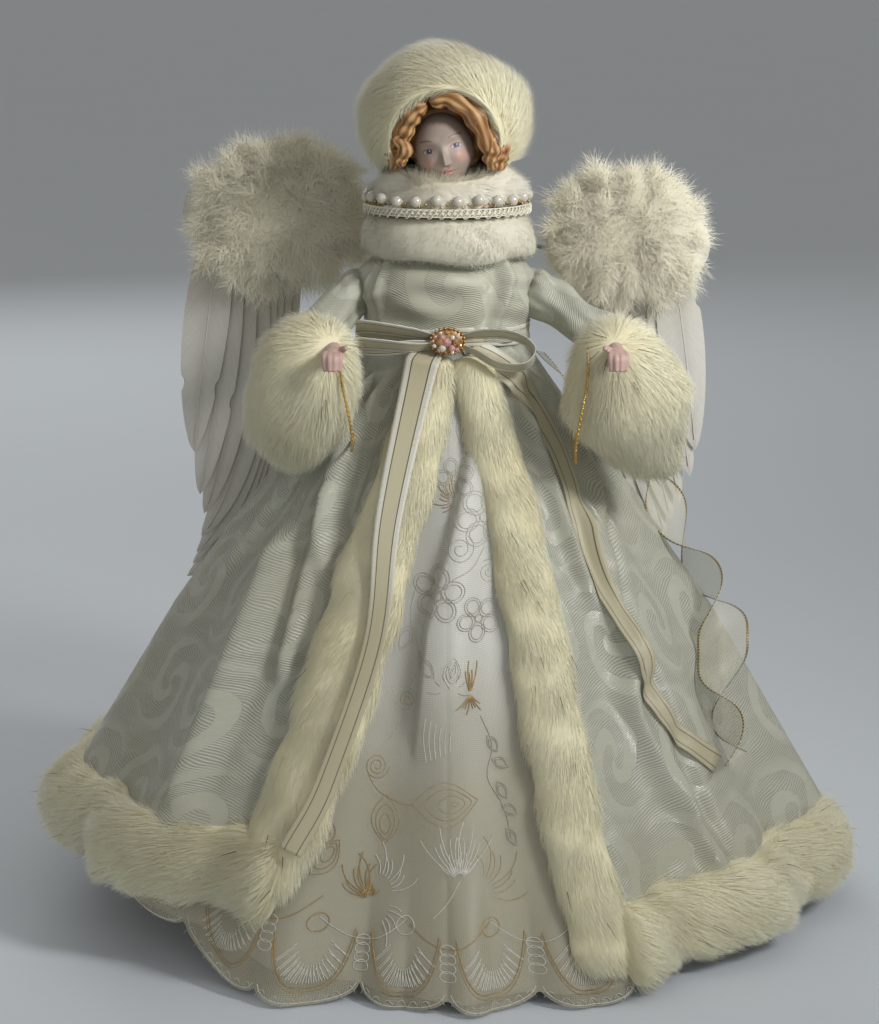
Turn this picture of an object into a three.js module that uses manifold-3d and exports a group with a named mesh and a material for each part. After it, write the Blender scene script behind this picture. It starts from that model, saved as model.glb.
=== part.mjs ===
// Angel tree topper: a porcelain-headed figure in a fur-trimmed brocade robe, built on a card cone that
// drops over the top shoot of a tree. Millimetres, +Z up. The front faces -Y, left and right are as the
// viewer sees the front, and the origin is the foot of the cone's axis, on the surface it stands on.

import * as THREE from "three";
import { mergeVertices } from "three/addons/utils/BufferGeometryUtils.js";
import Module from "manifold-3d";

const wasm = await Module();
wasm.setup();

// Clearances and stock
const GAP = 0.4; // between pieces that touch on the real object
const PLAY = 0.5; // round a wire that turns in its hole
const CLOTH = 1.2; // one layer of cloth as a solid
const RIBBON = 0.8; // one layer of ribbon as a solid
const ROUND_SIDES = 32; // sides of a turned piece

// Card cone
const CONE_H = 248;
const CONE_FOOT_R = 64;
const CONE_TOP_R = 17;
const CONE_WALL = 2;

// Torso core and bodice
const TORSO_FOOT_H = 10; // from the cone's top to the waist
const WAIST_Z = CONE_H + TORSO_FOOT_H;
const WAIST_RX = 34;
const WAIST_RY = 28;
const BODY_DEPTH = WAIST_RY / WAIST_RX;
const CHEST_RX = 36;
const SHOULDER_UP = 26; // from the waist to the arm axis
const TORSO_UP = 40; // from the waist to the torso's top
const NECK_BASE_R = 24;
const SHOULDER_Z = WAIST_Z + SHOULDER_UP;
const TORSO_TOP_Z = WAIST_Z + TORSO_UP;

// Skirt, in half widths at the waist, at the knee and on the floor
const KNEE_Z = 139;
const KNEE_RX = 112;
const KNEE_RY = 84;
const FLOOR_RX = 184;
const FLOOR_RY = 146;
const COLUMNS = 72;
const FOLD_DEPTH = 7;
const FOLD_COUNT = 13;
const FOLD_DRIFT_COUNT = 5;
const LEFT_FLARE = 19; // how much further the left side spreads on the floor
const FRONT_FLARE = 5; // how much further the front does
const BACK_TUCK = 2; // how much less the back does
const HEM_Z = { left: 42, right: 17 }; // robe's edge beside the front opening
const HEM_SIDE_LIFT = { left: 6, right: 8 };
const HEM_BLEND = 0.45; // share of the half width over which one side's height passes into the other's
const UNDERSKIRT_HEM_Z = 5;
const UNDERSKIRT_LIFT = { left: 26, right: 8 };
const PETTICOAT_SHORTER = 11; // than the underskirt
const HEM_WIRE_R = 1;

// Organza apron
const APRON_FROM = -60; // degrees from the front
const APRON_TO = 30;
const APRON_RISE_FROM = 30; // degrees to the left, where the hem starts to rise
const APRON_RISE = 16;
const APRON_HEM_Z = 1;
const SCALLOP_ANGLE = 15;
const SCALLOP_H = 7;
const SCALLOP_STEPS = 6;

// Fur trims of the robe
const TRIM_HALF_W = 15;
const TRIM_TOP_HALF_W = 10;
const TRIM_H = 11;
const TRIM_TOP_DROP = 13; // below the waist
const TRIM_PARTING_X = 2; // where the two front trims meet
// x of each front edge at its top, at two bends and at its foot, in the front view
const EDGE_X = { left: [-7, -22, -38, -74], right: [11, 38, 42, 66] };
const HEM_FUR_HALF_W = 15;
const HEM_FUR_H = 12;
const PANEL_SEAM_ANGLE = 120; // degrees from the front to each side seam

// Waist ribbon, bow and brooch
const SASH_W = 10;
const SASH_UP = 4; // middle of the ribbon above the waist
const BOW_REACH = 34;
const BOW_HALF_DEPTH = 4.5;
const KNOT_HALF_W = 5;
const KNOT_H = 12;
const KNOT_DEPTH = 5;
const TAIL_W = 10;
const BROOCH_R = 7;
const BROOCH_T = 2.5;
const STONE_R = 2.3;
const STONE_COUNT = 7;

// Collar stack
const COWL_DROP = 4; // below the torso's top
const COWL_H = 20;
const COWL_R = 39;
const COLLAR_DEPTH = 0.94;
const GIMP_H = 4;
const GIMP_T = 4.5;
const PEARL_R = 2.5;
const PEARL_COUNT = 24;
const THREAD_R = 0.5;
const FUR_COLLAR_H = 14;
const FUR_COLLAR_R = 37;
const FUR_COLLAR_HOLE_R = 22;

// Head and hat
const NECK_R = 9;
const NECK_BORE_R = 5;
const PLATE_R = 22;
const PLATE_H = 3;
const HEAD_UP = 52; // from the torso's top to the middle of the hair
const HAIR_RADII = [22.5, 22, 21];
const FACE_RADII = [16, 18, 19];
const FACE_FORWARD = 9;
const FACE_DROP = 5;
const HEAD_WALL = 3.5;
const DOWEL_UP = 40;
const DOWEL_DOWN = 20;
const HAT_RADII = [41, 42, 36];
const HAT_ABOVE_HEAD = 5;
const HAT_BACK = 3;
const HAT_OPENING_R = 23;

// Arms
const ARM_WIRE_R = 1.2;
const ARM_HOLE_DEPTH = 12;
const SLEEVE_R = 12;
const SLEEVE_PUFF_R = 15;
const SLEEVE_END_R = 11;
const CUFF_Y = -50;
const CUFF_DROP = { left: 43, right: 46 }; // below the arm axis
const CUFF_OUT = { left: 63, right: 77 };
const CUFF_RADII = { left: [27, 26, 36], right: [29, 26, 37] };
const HAND_OUT = { left: 48, right: 71 };
const HAND_DROP = 22;
const HAND_TIP_Y = -86;
const HAND_L = 20;
const FINGER_R = 1.4;
const PALM_R = 4.4;
const BRAID_R = 0.9;
const BRAID_INSET = 20; // inwards of the cuff's middle

// Wings
const WING_LIFT = { left: 16, right: 0 };
const WING_WIRE_R = 1.2;
const WING_AXIS_X = 16;
const WING_AXIS_BACK = 8; // behind the bodice
const PAD_HALF_W = 24;
const PAD_BELOW = 14;
const PAD_ABOVE = 12;
const PAD_BACK = 5.5; // behind the wing axis
const PLATE_BACK = 11; // from the wing axis to the wing plate
const PLATE_T = 1.5;
const WING_MIDDLE_X = 84;
const WING_MIDDLE_UP = 9;
const WING_PLATE_RX = 38;
const WING_PLATE_RZ = 24;
const MARABOU_RADII = [41, 17, 39];
const FEATHER_COUNT = 5;
const FEATHER_T = 0.6;
const FEATHER_W = 25;
const FEATHER_FIRST_L = 92;
const FEATHER_LAST_L = 150;
const FEATHER_FIRST_X = 103;
const FEATHER_LAST_X = 66;
const FEATHER_FIRST_UP = 0;
const FEATHER_LAST_UP = -16;
const FEATHER_FIRST_SPLAY = 6; // degrees outwards from straight down
const FEATHER_LAST_SPLAY = 23;

// Wired sheer ribbons at the sides
const SIDE_RIBBON_HALF_W = 12;
const SIDE_RIBBON_OUT = 12.5;
const SIDE_RIBBON_TWIST = 0.85; // radians either way
const SIDE_RIBBON_WAVES = 3;
const SIDE_RIBBON_STEPS = 24;
const SIDE_RIBBON_FROM = { left: 138, right: 112 }; // degrees from the front
const SIDE_RIBBON_TO = { left: 116, right: 60 };
const SIDE_RIBBON_END_Z = 82;

const SIDES = { left: -1, right: 1 };

// Materials by finish
const finish = (color, roughness, metalness = 0) =>
  new THREE.MeshStandardMaterial({ color, roughness, metalness });
const FINISHES = {
  card: finish(0xb9a888, 0.9),
  stuffing: finish(0xe9e4d6, 0.95),
  wood: finish(0xc79d67, 0.7),
  porcelain: finish(0xead9cf, 0.45),
  fur: finish(0xe9dfc0, 0.95),
  plush: finish(0xe6e2d0, 0.9),
  brocade: finish(0xdcdcc8, 0.45),
  satin: finish(0xe8e4d4, 0.35),
  organza: finish(0xe2dabb, 0.5),
  net: finish(0xf0ece0, 0.8),
  ribbon: finish(0xd8cd9f, 0.4, 0.2),
  gold: finish(0xcfa64a, 0.3, 0.9),
  pearl: finish(0xefe9dc, 0.2),
  stone: finish(0xc98b6a, 0.1),
  feather: finish(0xe7dfc8, 0.75),
  wire: finish(0x8f9296, 0.4, 0.9),
};

const vector = (x, y, z) => new THREE.Vector3(x, y, z);
const radians = THREE.MathUtils.degToRad;
const lerp = THREE.MathUtils.lerp;

// Solids

// A closed solid from points and triangles, turned to face outwards.
function solidFromFaces(points, faces) {
  let volume = 0;
  const cross = vector();
  const whole = [];
  for (let i = 0; i < faces.length; i += 3) {
    const [a, b, c] = faces.slice(i, i + 3);
    if (a === b || b === c || a === c) continue;
    whole.push(a, b, c);
    volume += points[a].dot(cross.crossVectors(points[b], points[c]));
  }
  if (volume < 0) whole.reverse();
  const vertProperties = new Float32Array(points.flatMap((p) => [p.x, p.y, p.z]));
  return new wasm.Manifold(
    new wasm.Mesh({ numProp: 3, vertProperties, triVerts: new Uint32Array(whole) }),
  );
}

// A three.js geometry as a solid.
function solidOf(geometry) {
  const bare = new THREE.BufferGeometry();
  bare.setAttribute("position", geometry.getAttribute("position"));
  bare.setIndex(geometry.index);
  const merged = mergeVertices(bare, 1e-3);
  const place = merged.getAttribute("position");
  const points = [];
  for (let i = 0; i < place.count; i++) points.push(vector().fromBufferAttribute(place, i));
  return solidFromFaces(points, Array.from(merged.index.array));
}

function geometryOf(solid) {
  const { vertProperties, triVerts } = solid.getMesh();
  const geometry = new THREE.BufferGeometry();
  geometry.setAttribute("position", new THREE.BufferAttribute(vertProperties, 3));
  geometry.setIndex(new THREE.BufferAttribute(triVerts, 1));
  geometry.computeVertexNormals();
  return geometry;
}

const joined = (solids) => solids.reduce((whole, next) => whole.add(next));

// A piece turned about Z from a profile of [radius, height], its depth scaled for an oval section.
function turned(profile, depth = 1) {
  const points = profile.map(([radius, height]) => new THREE.Vector2(radius, height));
  const geometry = new THREE.LatheGeometry(points, ROUND_SIDES);
  geometry.rotateX(Math.PI / 2).scale(1, depth, 1);
  return solidOf(geometry);
}

function ellipsoid(middle, [rx, ry, rz], around = 18, down = 10) {
  const geometry = new THREE.SphereGeometry(1, around, down);
  geometry.rotateX(Math.PI / 2).scale(rx, ry, rz).translate(middle.x, middle.y, middle.z);
  return solidOf(geometry);
}

function box(low, high) {
  const size = high.clone().sub(low);
  const middle = low.clone().add(high).multiplyScalar(0.5);
  const geometry = new THREE.BoxGeometry(size.x, size.y, size.z);
  return solidOf(geometry.translate(middle.x, middle.y, middle.z));
}

// A rod between two points.
function rod(from, to, radius, sides = 12) {
  const along = to.clone().sub(from);
  const geometry = new THREE.CylinderGeometry(radius, radius, along.length(), sides);
  const turn = new THREE.Quaternion().setFromUnitVectors(vector(0, 1, 0), along.clone().normalize());
  geometry.applyQuaternion(turn);
  const middle = from.clone().add(to).multiplyScalar(0.5);
  return solidOf(geometry.translate(middle.x, middle.y, middle.z));
}

// A round wire bent through points.
function bentWire(points, radius, steps = 16) {
  const section = new THREE.Shape().absarc(0, 0, radius, 0, 2 * Math.PI);
  const extrudePath = new THREE.CatmullRomCurve3(points, false, "centripetal");
  return solidOf(new THREE.ExtrudeGeometry(section, { steps, extrudePath, curveSegments: 3 }));
}

// A front-view outline with thickness, from the plane of y backwards to y - depth.
function frontPlate(shape, y, depth, curveSegments = 12) {
  const geometry = new THREE.ExtrudeGeometry(shape, { depth, bevelEnabled: false, curveSegments });
  return solidOf(geometry.rotateX(Math.PI / 2).translate(0, y, 0));
}

// Rings of points joined into one skin, capped at its ends or joined end to end.
function loft(rings, endless = false) {
  const sides = rings[0].length;
  const points = rings.flat();
  const faces = [];
  const at = (ring, side) => (ring % rings.length) * sides + (side % sides);
  const spans = endless ? rings.length : rings.length - 1;
  for (let ring = 0; ring < spans; ring++) {
    for (let side = 0; side < sides; side++) {
      const [a, b] = [at(ring, side), at(ring, side + 1)];
      const [c, d] = [at(ring + 1, side + 1), at(ring + 1, side)];
      faces.push(a, b, c, a, c, d);
    }
  }
  if (!endless) {
    for (const ring of [0, rings.length - 1]) {
      const middle = vector();
      rings[ring].forEach((p) => middle.addScaledVector(p, 1 / sides));
      points.push(middle);
      for (let side = 0; side < sides; side++) {
        const edge = [at(ring, side), at(ring, side + 1)];
        faces.push(...(ring ? edge : edge.reverse()), points.length - 1);
      }
    }
  }
  return solidFromFaces(points, faces);
}

function ovalRing(middle, across, up, halfAcross, halfUp, sides = 12) {
  return Array.from({ length: sides }, (_, i) => {
    const turn = (2 * Math.PI * i) / sides;
    return middle
      .clone()
      .addScaledVector(across, halfAcross * Math.cos(turn))
      .addScaledVector(up, halfUp * Math.sin(turn));
  });
}

// Two like grids of points, rows by columns, joined along their edges into a sheet with thickness.
function sheet(outer, inner, endless = false) {
  const rows = outer.length;
  const columns = outer[0].length;
  const at = (side, row, column) => (side * rows + row) * columns + (column % columns);
  const faces = [];
  const quad = (a, b, c, d) => faces.push(a, b, c, a, c, d);
  const spans = endless ? columns : columns - 1;
  for (let c = 0; c < spans; c++) {
    for (let r = 0; r < rows - 1; r++) {
      quad(at(0, r, c), at(0, r + 1, c), at(0, r + 1, c + 1), at(0, r, c + 1));
      quad(at(1, r, c), at(1, r, c + 1), at(1, r + 1, c + 1), at(1, r + 1, c));
    }
    quad(at(0, 0, c), at(0, 0, c + 1), at(1, 0, c + 1), at(1, 0, c));
    quad(at(0, rows - 1, c), at(1, rows - 1, c), at(1, rows - 1, c + 1), at(0, rows - 1, c + 1));
  }
  if (!endless) {
    const last = columns - 1;
    for (let r = 0; r < rows - 1; r++) {
      quad(at(0, r, 0), at(1, r, 0), at(1, r + 1, 0), at(0, r + 1, 0));
      quad(at(0, r, last), at(0, r + 1, last), at(1, r + 1, last), at(1, r, last));
    }
  }
  return solidFromFaces([...outer.flat(), ...inner.flat()], faces);
}

// Skirt surface: straight from waist to knee to floor on every column, so that all its layers lie parallel.

const COLUMN_ANGLE = (2 * Math.PI) / COLUMNS;
const LAYER = CLOTH + 1.5 * GAP; // from one layer's outside to the next one's
const LAYERS = 4; // robe, apron, underskirt, petticoat
const WAIST = { z: WAIST_Z, rx: WAIST_RX, ry: WAIST_RY };
const KNEE = { z: KNEE_Z, rx: KNEE_RX, ry: KNEE_RY };
const FLOOR = { z: 0, rx: FLOOR_RX, ry: FLOOR_RY };

const ovalReach = (angle, { rx, ry }) => 1 / Math.hypot(Math.sin(angle) / rx, Math.cos(angle) / ry);

// How far folds, flare and tuck move the skirt out at the floor.
function foldOut(angle) {
  const folds = 0.65 * Math.cos(FOLD_COUNT * angle) + 0.35 * Math.sin(FOLD_DRIFT_COUNT * angle);
  const left = LEFT_FLARE * Math.max(0, -Math.sin(angle)) ** 2;
  const front = FRONT_FLARE * Math.max(0, Math.cos(angle)) ** 2;
  const back = BACK_TUCK * Math.max(0, -Math.cos(angle)) ** 2;
  return FOLD_DEPTH * folds + left + front - back;
}

function columnPoint(column, z, offset) {
  const angle = column * COLUMN_ANGLE;
  const [upper, lower] = z > KNEE.z ? [WAIST, KNEE] : [KNEE, FLOOR];
  const down = (upper.z - z) / (upper.z - lower.z);
  const reach = lerp(ovalReach(angle, upper), ovalReach(angle, lower), down);
  const radius = reach + (foldOut(angle) * (WAIST.z - z)) / WAIST.z + offset;
  return vector(radius * Math.sin(angle), -radius * Math.cos(angle), z);
}

// A point of the skirt at an angle from the front, the robe's outside being offset 0.
function skirtPoint(angle, z, offset) {
  const column = Math.floor(angle / COLUMN_ANGLE);
  const share = angle / COLUMN_ANGLE - column;
  return columnPoint(column, z, offset).lerp(columnPoint(column + 1, z, offset), share);
}

// The angle at which the front of the skirt shows at x.
function angleAtX(x, z) {
  let low = -Math.PI / 2;
  let high = Math.PI / 2;
  for (let i = 0; i < 30; i++) {
    const middle = (low + high) / 2;
    if (skirtPoint(middle, z, 0).x < x) low = middle;
    else high = middle;
  }
  return low;
}

// The skirt's directions at a point: around it, down it and out of it.
function skirtFrame(angle, z, offset) {
  const step = 0.02;
  const point = skirtPoint(angle, z, offset);
  const around = skirtPoint(angle + step, z, offset).sub(skirtPoint(angle - step, z, offset)).normalize();
  const down = skirtPoint(angle, z - 1, offset).sub(point).normalize();
  const out = vector().crossVectors(down, around).normalize();
  return { point, around, down, out };
}

// One layer of the skirt between two angles, whose hem height is a function of the angle.
function skirtLayer(offset, topZ, hemZ, angles, endless) {
  const grid = (depth) => {
    const row = (heightAt) => angles.map((angle) => skirtPoint(angle, heightAt(angle), offset - depth));
    return [row(() => topZ), row(() => KNEE_Z), row(hemZ)];
  };
  return sheet(grid(0), grid(CLOTH), endless);
}

const everyColumn = Array.from({ length: COLUMNS }, (_, i) => i * COLUMN_ANGLE);

// Everything inside the robe's outside and the gap over it, for cutting what lies on the robe.
function skirtBlock() {
  const ring = (z) => everyColumn.map((angle) => skirtPoint(angle, z, GAP));
  return loft([ring(WAIST_Z), ring(KNEE_Z), ring(0)]);
}

function robeHem(angle) {
  const sideways = Math.sin(angle);
  const sideHem = (name) => HEM_Z[name] + HEM_SIDE_LIFT[name] * sideways ** 2;
  const share = THREE.MathUtils.smoothstep(sideways, -HEM_BLEND, HEM_BLEND);
  return lerp(sideHem("left"), sideHem("right"), share);
}

// The robe's two front edges in the front view, as x against z.
const TRIM_TOP_Z = WAIST_Z - TRIM_TOP_DROP;
function frontEdge(name) {
  const places = EDGE_X[name].map((x, i) => new THREE.Vector2(x, lerp(TRIM_TOP_Z, HEM_Z[name], i / 3)));
  return new THREE.CubicBezierCurve(...places);
}
const EDGES = { left: frontEdge("left"), right: frontEdge("right") };

// The wedge that the robe leaves open down its front.
function frontOpening() {
  const edge = 12;
  const outline = new THREE.Shape([
    new THREE.Vector2(TRIM_PARTING_X - GAP, WAIST_Z + SASH_W),
    ...EDGES.left.getPoints(edge),
    new THREE.Vector2(EDGE_X.left[3], -HEM_FUR_HALF_W),
    new THREE.Vector2(EDGE_X.right[3], -HEM_FUR_HALF_W),
    ...EDGES.right.getPoints(edge).reverse(),
    new THREE.Vector2(TRIM_PARTING_X + GAP, WAIST_Z + SASH_W),
  ]);
  return frontPlate(outline, 0, 2 * FLOOR_RY);
}

// A slice of the plan between two angles from the front, for cutting the robe and its hem into lengths.
function planSlice(fromDegrees, toDegrees) {
  const reach = 2 * FLOOR_RX;
  const steps = 12;
  const outline = new THREE.Shape([new THREE.Vector2(0, 0)]);
  for (let i = 0; i <= steps; i++) {
    const angle = radians(lerp(fromDegrees, toDegrees, i / steps));
    outline.lineTo(reach * Math.sin(angle), -reach * Math.cos(angle));
  }
  const geometry = new THREE.ExtrudeGeometry(outline, { depth: 2 * WAIST_Z, bevelEnabled: false });
  return solidOf(geometry.translate(0, 0, -WAIST_Z / 2));
}

const SEAM = (GAP / FLOOR_RX) * (180 / Math.PI) * 2; // degrees left open at a seam
const PANELS = {
  left: planSlice(-PANEL_SEAM_ANGLE + SEAM, 0),
  right: planSlice(0, PANEL_SEAM_ANGLE - SEAM),
  back: planSlice(PANEL_SEAM_ANGLE, 360 - PANEL_SEAM_ANGLE),
};

// Pieces, gathered in one group

const topper = new THREE.Group();
topper.name = "angel_tree_topper";

function add(name, solid, material) {
  const mesh = new THREE.Mesh(geometryOf(solid), FINISHES[material]);
  mesh.name = name;
  topper.add(mesh);
}

// Core

function bodyCone() {
  const foot = CONE_FOOT_R - CONE_WALL;
  return turned([
    [foot, 0],
    [CONE_FOOT_R, 0],
    [CONE_TOP_R, CONE_H],
    [0, CONE_H],
    [0, CONE_H - CONE_WALL],
    [CONE_TOP_R - CONE_WALL, CONE_H - CONE_WALL],
    [foot, 0],
  ]);
}

const BODICE_LAYER = CLOTH + GAP;
const TORSO_FOOT_R = (WAIST_RY - LAYERS * LAYER - GAP) / BODY_DEPTH;

// The body's outside above the waist, grown by some amount, as [radius, height].
const bodyProfile = (grow) => [
  [WAIST_RX - BODICE_LAYER + grow, WAIST_Z + GAP],
  [CHEST_RX + grow, SHOULDER_Z],
  [NECK_BASE_R + grow, TORSO_TOP_Z],
];
const closedProfile = (profile) => [[0, profile[0][1]], ...profile, [0, profile.at(-1)[1]]];

function armHole(side, radius, depth) {
  const outside = CHEST_RX + 2 * BODICE_LAYER;
  return rod(
    vector(side * (CHEST_RX - depth), 0, SHOULDER_Z),
    vector(side * outside, 0, SHOULDER_Z),
    radius,
  );
}

function torsoCore() {
  const profile = [[0, CONE_H + GAP], [CONE_TOP_R, CONE_H + GAP], [TORSO_FOOT_R, WAIST_Z - TORSO_FOOT_H / 2]];
  profile.push([TORSO_FOOT_R, WAIST_Z + GAP], ...bodyProfile(0), [0, TORSO_TOP_Z]);
  let core = turned(profile, BODY_DEPTH);
  for (const side of Object.values(SIDES)) {
    core = core.subtract(armHole(side, ARM_WIRE_R + PLAY, ARM_HOLE_DEPTH));
  }
  const dowelHole = rod(
    vector(0, 0, TORSO_TOP_Z - DOWEL_DOWN - GAP),
    vector(0, 0, TORSO_TOP_Z + GAP),
    NECK_BORE_R - GAP,
  );
  return core.subtract(dowelHole);
}

function bodice() {
  let shell = turned(closedProfile(bodyProfile(BODICE_LAYER)), BODY_DEPTH);
  shell = shell.subtract(turned(closedProfile(bodyProfile(GAP)), BODY_DEPTH));
  for (const side of Object.values(SIDES)) {
    shell = shell.subtract(armHole(side, ARM_WIRE_R + PLAY, ARM_HOLE_DEPTH));
  }
  const neck = turned([[0, 0], [NECK_BASE_R, 0], [NECK_BASE_R, 2 * TORSO_TOP_Z], [0, 2 * TORSO_TOP_Z]], BODY_DEPTH);
  return shell.subtract(neck);
}

add("body_cone", bodyCone(), "card");
add("torso_core", torsoCore(), "stuffing");
add("bodice", bodice(), "satin");

// Skirt layers

function underskirtHem(angle) {
  const lift = Math.sin(angle) < 0 ? UNDERSKIRT_LIFT.left : UNDERSKIRT_LIFT.right;
  return UNDERSKIRT_HEM_Z + lift * Math.sin(angle) ** 2;
}

const petticoatHem = (angle) => underskirtHem(angle) + PETTICOAT_SHORTER;

function hemWire() {
  const inset = -LAYERS * LAYER - HEM_WIRE_R;
  const rings = everyColumn.map((angle) => {
    const { point, down, out } = skirtFrame(angle, petticoatHem(angle) + 2 * HEM_WIRE_R, inset);
    return ovalRing(point, down, out, HEM_WIRE_R, HEM_WIRE_R, 3);
  });
  return loft(rings, true);
}

// The apron's hem hangs in scallops.
function apronHem(angle) {
  const degrees = THREE.MathUtils.radToDeg(angle);
  const share = degrees / SCALLOP_ANGLE;
  const across = 2 * (share - Math.floor(share + 1e-6)) - 1;
  const scallop = SCALLOP_H * (1 - Math.sqrt(1 - Math.min(1, across ** 2)));
  const rise = Math.max(0, (-degrees - APRON_RISE_FROM) / (-APRON_FROM - APRON_RISE_FROM));
  return APRON_HEM_Z + scallop + APRON_RISE * rise ** 2;
}

function apron() {
  const step = SCALLOP_ANGLE / SCALLOP_STEPS;
  const count = Math.round((APRON_TO - APRON_FROM) / step);
  const angles = Array.from({ length: count + 1 }, (_, i) => radians(APRON_FROM + i * step));
  return skirtLayer(-LAYER, WAIST_Z, apronHem, angles, false);
}

function robePanels() {
  const whole = skirtLayer(0, WAIST_Z, robeHem, everyColumn, true);
  const open = whole.subtract(frontOpening());
  for (const [name, slice] of Object.entries(PANELS)) {
    add(`robe_${name}_panel`, open.intersect(slice), "brocade");
  }
}

add("petticoat", skirtLayer(-3 * LAYER, WAIST_Z, petticoatHem, everyColumn, true), "net");
add("hem_wire", hemWire(), "wire");
add("underskirt", skirtLayer(-2 * LAYER, WAIST_Z, underskirtHem, everyColumn, true), "satin");
add("organza_apron", apron(), "organza");
robePanels();

// Fur trims of the robe

const block = skirtBlock();

// A fur strip down one front edge, as wide again as grow on each side.
function frontTrimStrip(edge, grow) {
  const steps = 12;
  const rings = [];
  for (let i = 0; i <= steps; i++) {
    const { x, y: z } = edge.getPoint(i / steps);
    const { point, around, out } = skirtFrame(angleAtX(x, z), z, 0);
    const half = lerp(TRIM_TOP_HALF_W, TRIM_HALF_W, Math.min(1, (2 * i) / steps));
    rings.push(ovalRing(point, around, out, half + grow, TRIM_H + grow));
  }
  return loft(rings);
}

function halfSpaceX(side) {
  const far = 2 * FLOOR_RX;
  const near = TRIM_PARTING_X + (side * GAP) / 2;
  const [low, high] = side < 0 ? [-far, near] : [near, far];
  return box(vector(low, -far, -far), vector(high, far, 2 * WAIST_Z));
}

function hemFurRing() {
  const rings = everyColumn.map((angle) => {
    const { point, down, out } = skirtFrame(angle, robeHem(angle), 0);
    return ovalRing(point, down, out, HEM_FUR_HALF_W, HEM_FUR_H, 10);
  });
  return loft(rings, true).subtract(block);
}

function furTrims() {
  let ring = hemFurRing().subtract(frontOpening());
  for (const [name, edge] of Object.entries(EDGES)) {
    const strip = frontTrimStrip(edge, 0).subtract(block).intersect(halfSpaceX(SIDES[name]));
    add(`front_fur_${name}`, strip, "fur");
    ring = ring.subtract(frontTrimStrip(edge, GAP));
  }
  for (const [name, slice] of Object.entries(PANELS)) {
    add(`hem_fur_${name}`, ring.intersect(slice), "fur");
  }
}

furTrims();

// Waist ribbon, bow and brooch

const WAIST_FLARE = (KNEE_RX - WAIST_RX) / (WAIST_Z - KNEE_Z);
const SASH_Z = WAIST_Z + SASH_UP;
const SASH_BELOW = SASH_W / 2 - SASH_UP; // how far the ribbon reaches below the waist
const SASH_TOP_R = lerp(WAIST_RX, CHEST_RX + BODICE_LAYER, (SASH_UP + SASH_W / 2) / SHOULDER_UP) + GAP;
const SASH_FOOT_R = WAIST_RX + WAIST_FLARE * SASH_BELOW + 2 * GAP;

function waistRibbon() {
  const [low, high] = [SASH_Z - SASH_W / 2, SASH_Z + SASH_W / 2];
  return turned(
    [
      [SASH_FOOT_R, low],
      [SASH_FOOT_R + RIBBON, low],
      [SASH_TOP_R + RIBBON, high],
      [SASH_TOP_R, high],
      [SASH_FOOT_R, low],
    ],
    BODY_DEPTH,
  );
}

const SASH_FRONT_Y = -(Math.max(SASH_TOP_R, SASH_FOOT_R) + RIBBON) * BODY_DEPTH; // furthest forward part of the waist ribbon
const BOW_Y = SASH_FRONT_Y - GAP - KNOT_DEPTH / 2;
const KNOT_FRONT_Y = SASH_FRONT_Y - GAP - KNOT_DEPTH;

function bowLoop(side) {
  const half = (BOW_REACH - GAP) / 2;
  const middle = side * (KNOT_HALF_W + GAP + half);
  const ring = (inset) => {
    const geometry = new THREE.CylinderGeometry(1, 1, SASH_W, 28);
    geometry.rotateX(Math.PI / 2).scale(half - inset, BOW_HALF_DEPTH - inset, inset ? 2 : 1);
    return solidOf(geometry.translate(middle, BOW_Y - GAP, SASH_Z));
  };
  return ring(0).subtract(ring(RIBBON));
}

function bowKnot() {
  return box(
    vector(-KNOT_HALF_W, KNOT_FRONT_Y, SASH_Z - KNOT_H / 2),
    vector(KNOT_HALF_W, SASH_FRONT_Y - GAP, SASH_Z + KNOT_H / 2),
  );
}

function broochSetting() {
  const back = KNOT_FRONT_Y - GAP;
  return rod(vector(0, back, SASH_Z), vector(0, back - BROOCH_T, SASH_Z), BROOCH_R, 24);
}

function broochStones() {
  const y = KNOT_FRONT_Y - GAP - BROOCH_T - GAP - STONE_R;
  const stones = [ellipsoid(vector(0, y, SASH_Z), [STONE_R, STONE_R, STONE_R], 6, 4)];
  for (let i = 0; i < STONE_COUNT; i++) {
    const turn = (2 * Math.PI * i) / STONE_COUNT;
    const out = 1.8 * STONE_R;
    const middle = vector(out * Math.cos(turn), y, SASH_Z + out * Math.sin(turn));
    stones.push(ellipsoid(middle, [STONE_R, STONE_R, STONE_R], 6, 4));
  }
  return joined(stones);
}

// A ribbon laid down the skirt along points of [x, z] in the front view, over it by offset, clear of a trim.
function laidRibbon(points, offset, edge) {
  const route = new THREE.SplineCurve(points.map(([x, z]) => new THREE.Vector2(x, z)));
  const steps = 12;
  const grid = (lift) => {
    const rows = [];
    for (let i = 0; i <= steps; i++) {
      const { x, y: z } = route.getPoint(i / steps);
      const ahead = route.getTangent(i / steps);
      const across = new THREE.Vector2(-ahead.y, ahead.x).multiplyScalar(TAIL_W / 2);
      rows.push(
        [1, 0, -1].map((share) => {
          const [edgeX, edgeZ] = [x + share * across.x, z + share * across.y];
          return skirtPoint(angleAtX(edgeX, edgeZ), edgeZ, offset + lift);
        }),
      );
    }
    return rows;
  };
  return sheet(grid(RIBBON), grid(-RIBBON)).subtract(block).subtract(frontTrimStrip(edge, GAP));
}

const SKIRT_TILT = Math.atan2(KNEE_RY - WAIST_RY, WAIST_Z - KNEE_Z); // of the front from upright
const LEFT_TAIL = [[-5, WAIST_Z - 14], [-20, 190], [-27, 140], [-44, 90], [-56, 66]];
const RIGHT_TAIL = [[22, WAIST_Z - 8], [48, 212], [62, 160], [86, 110], [114, 82]];

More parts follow.
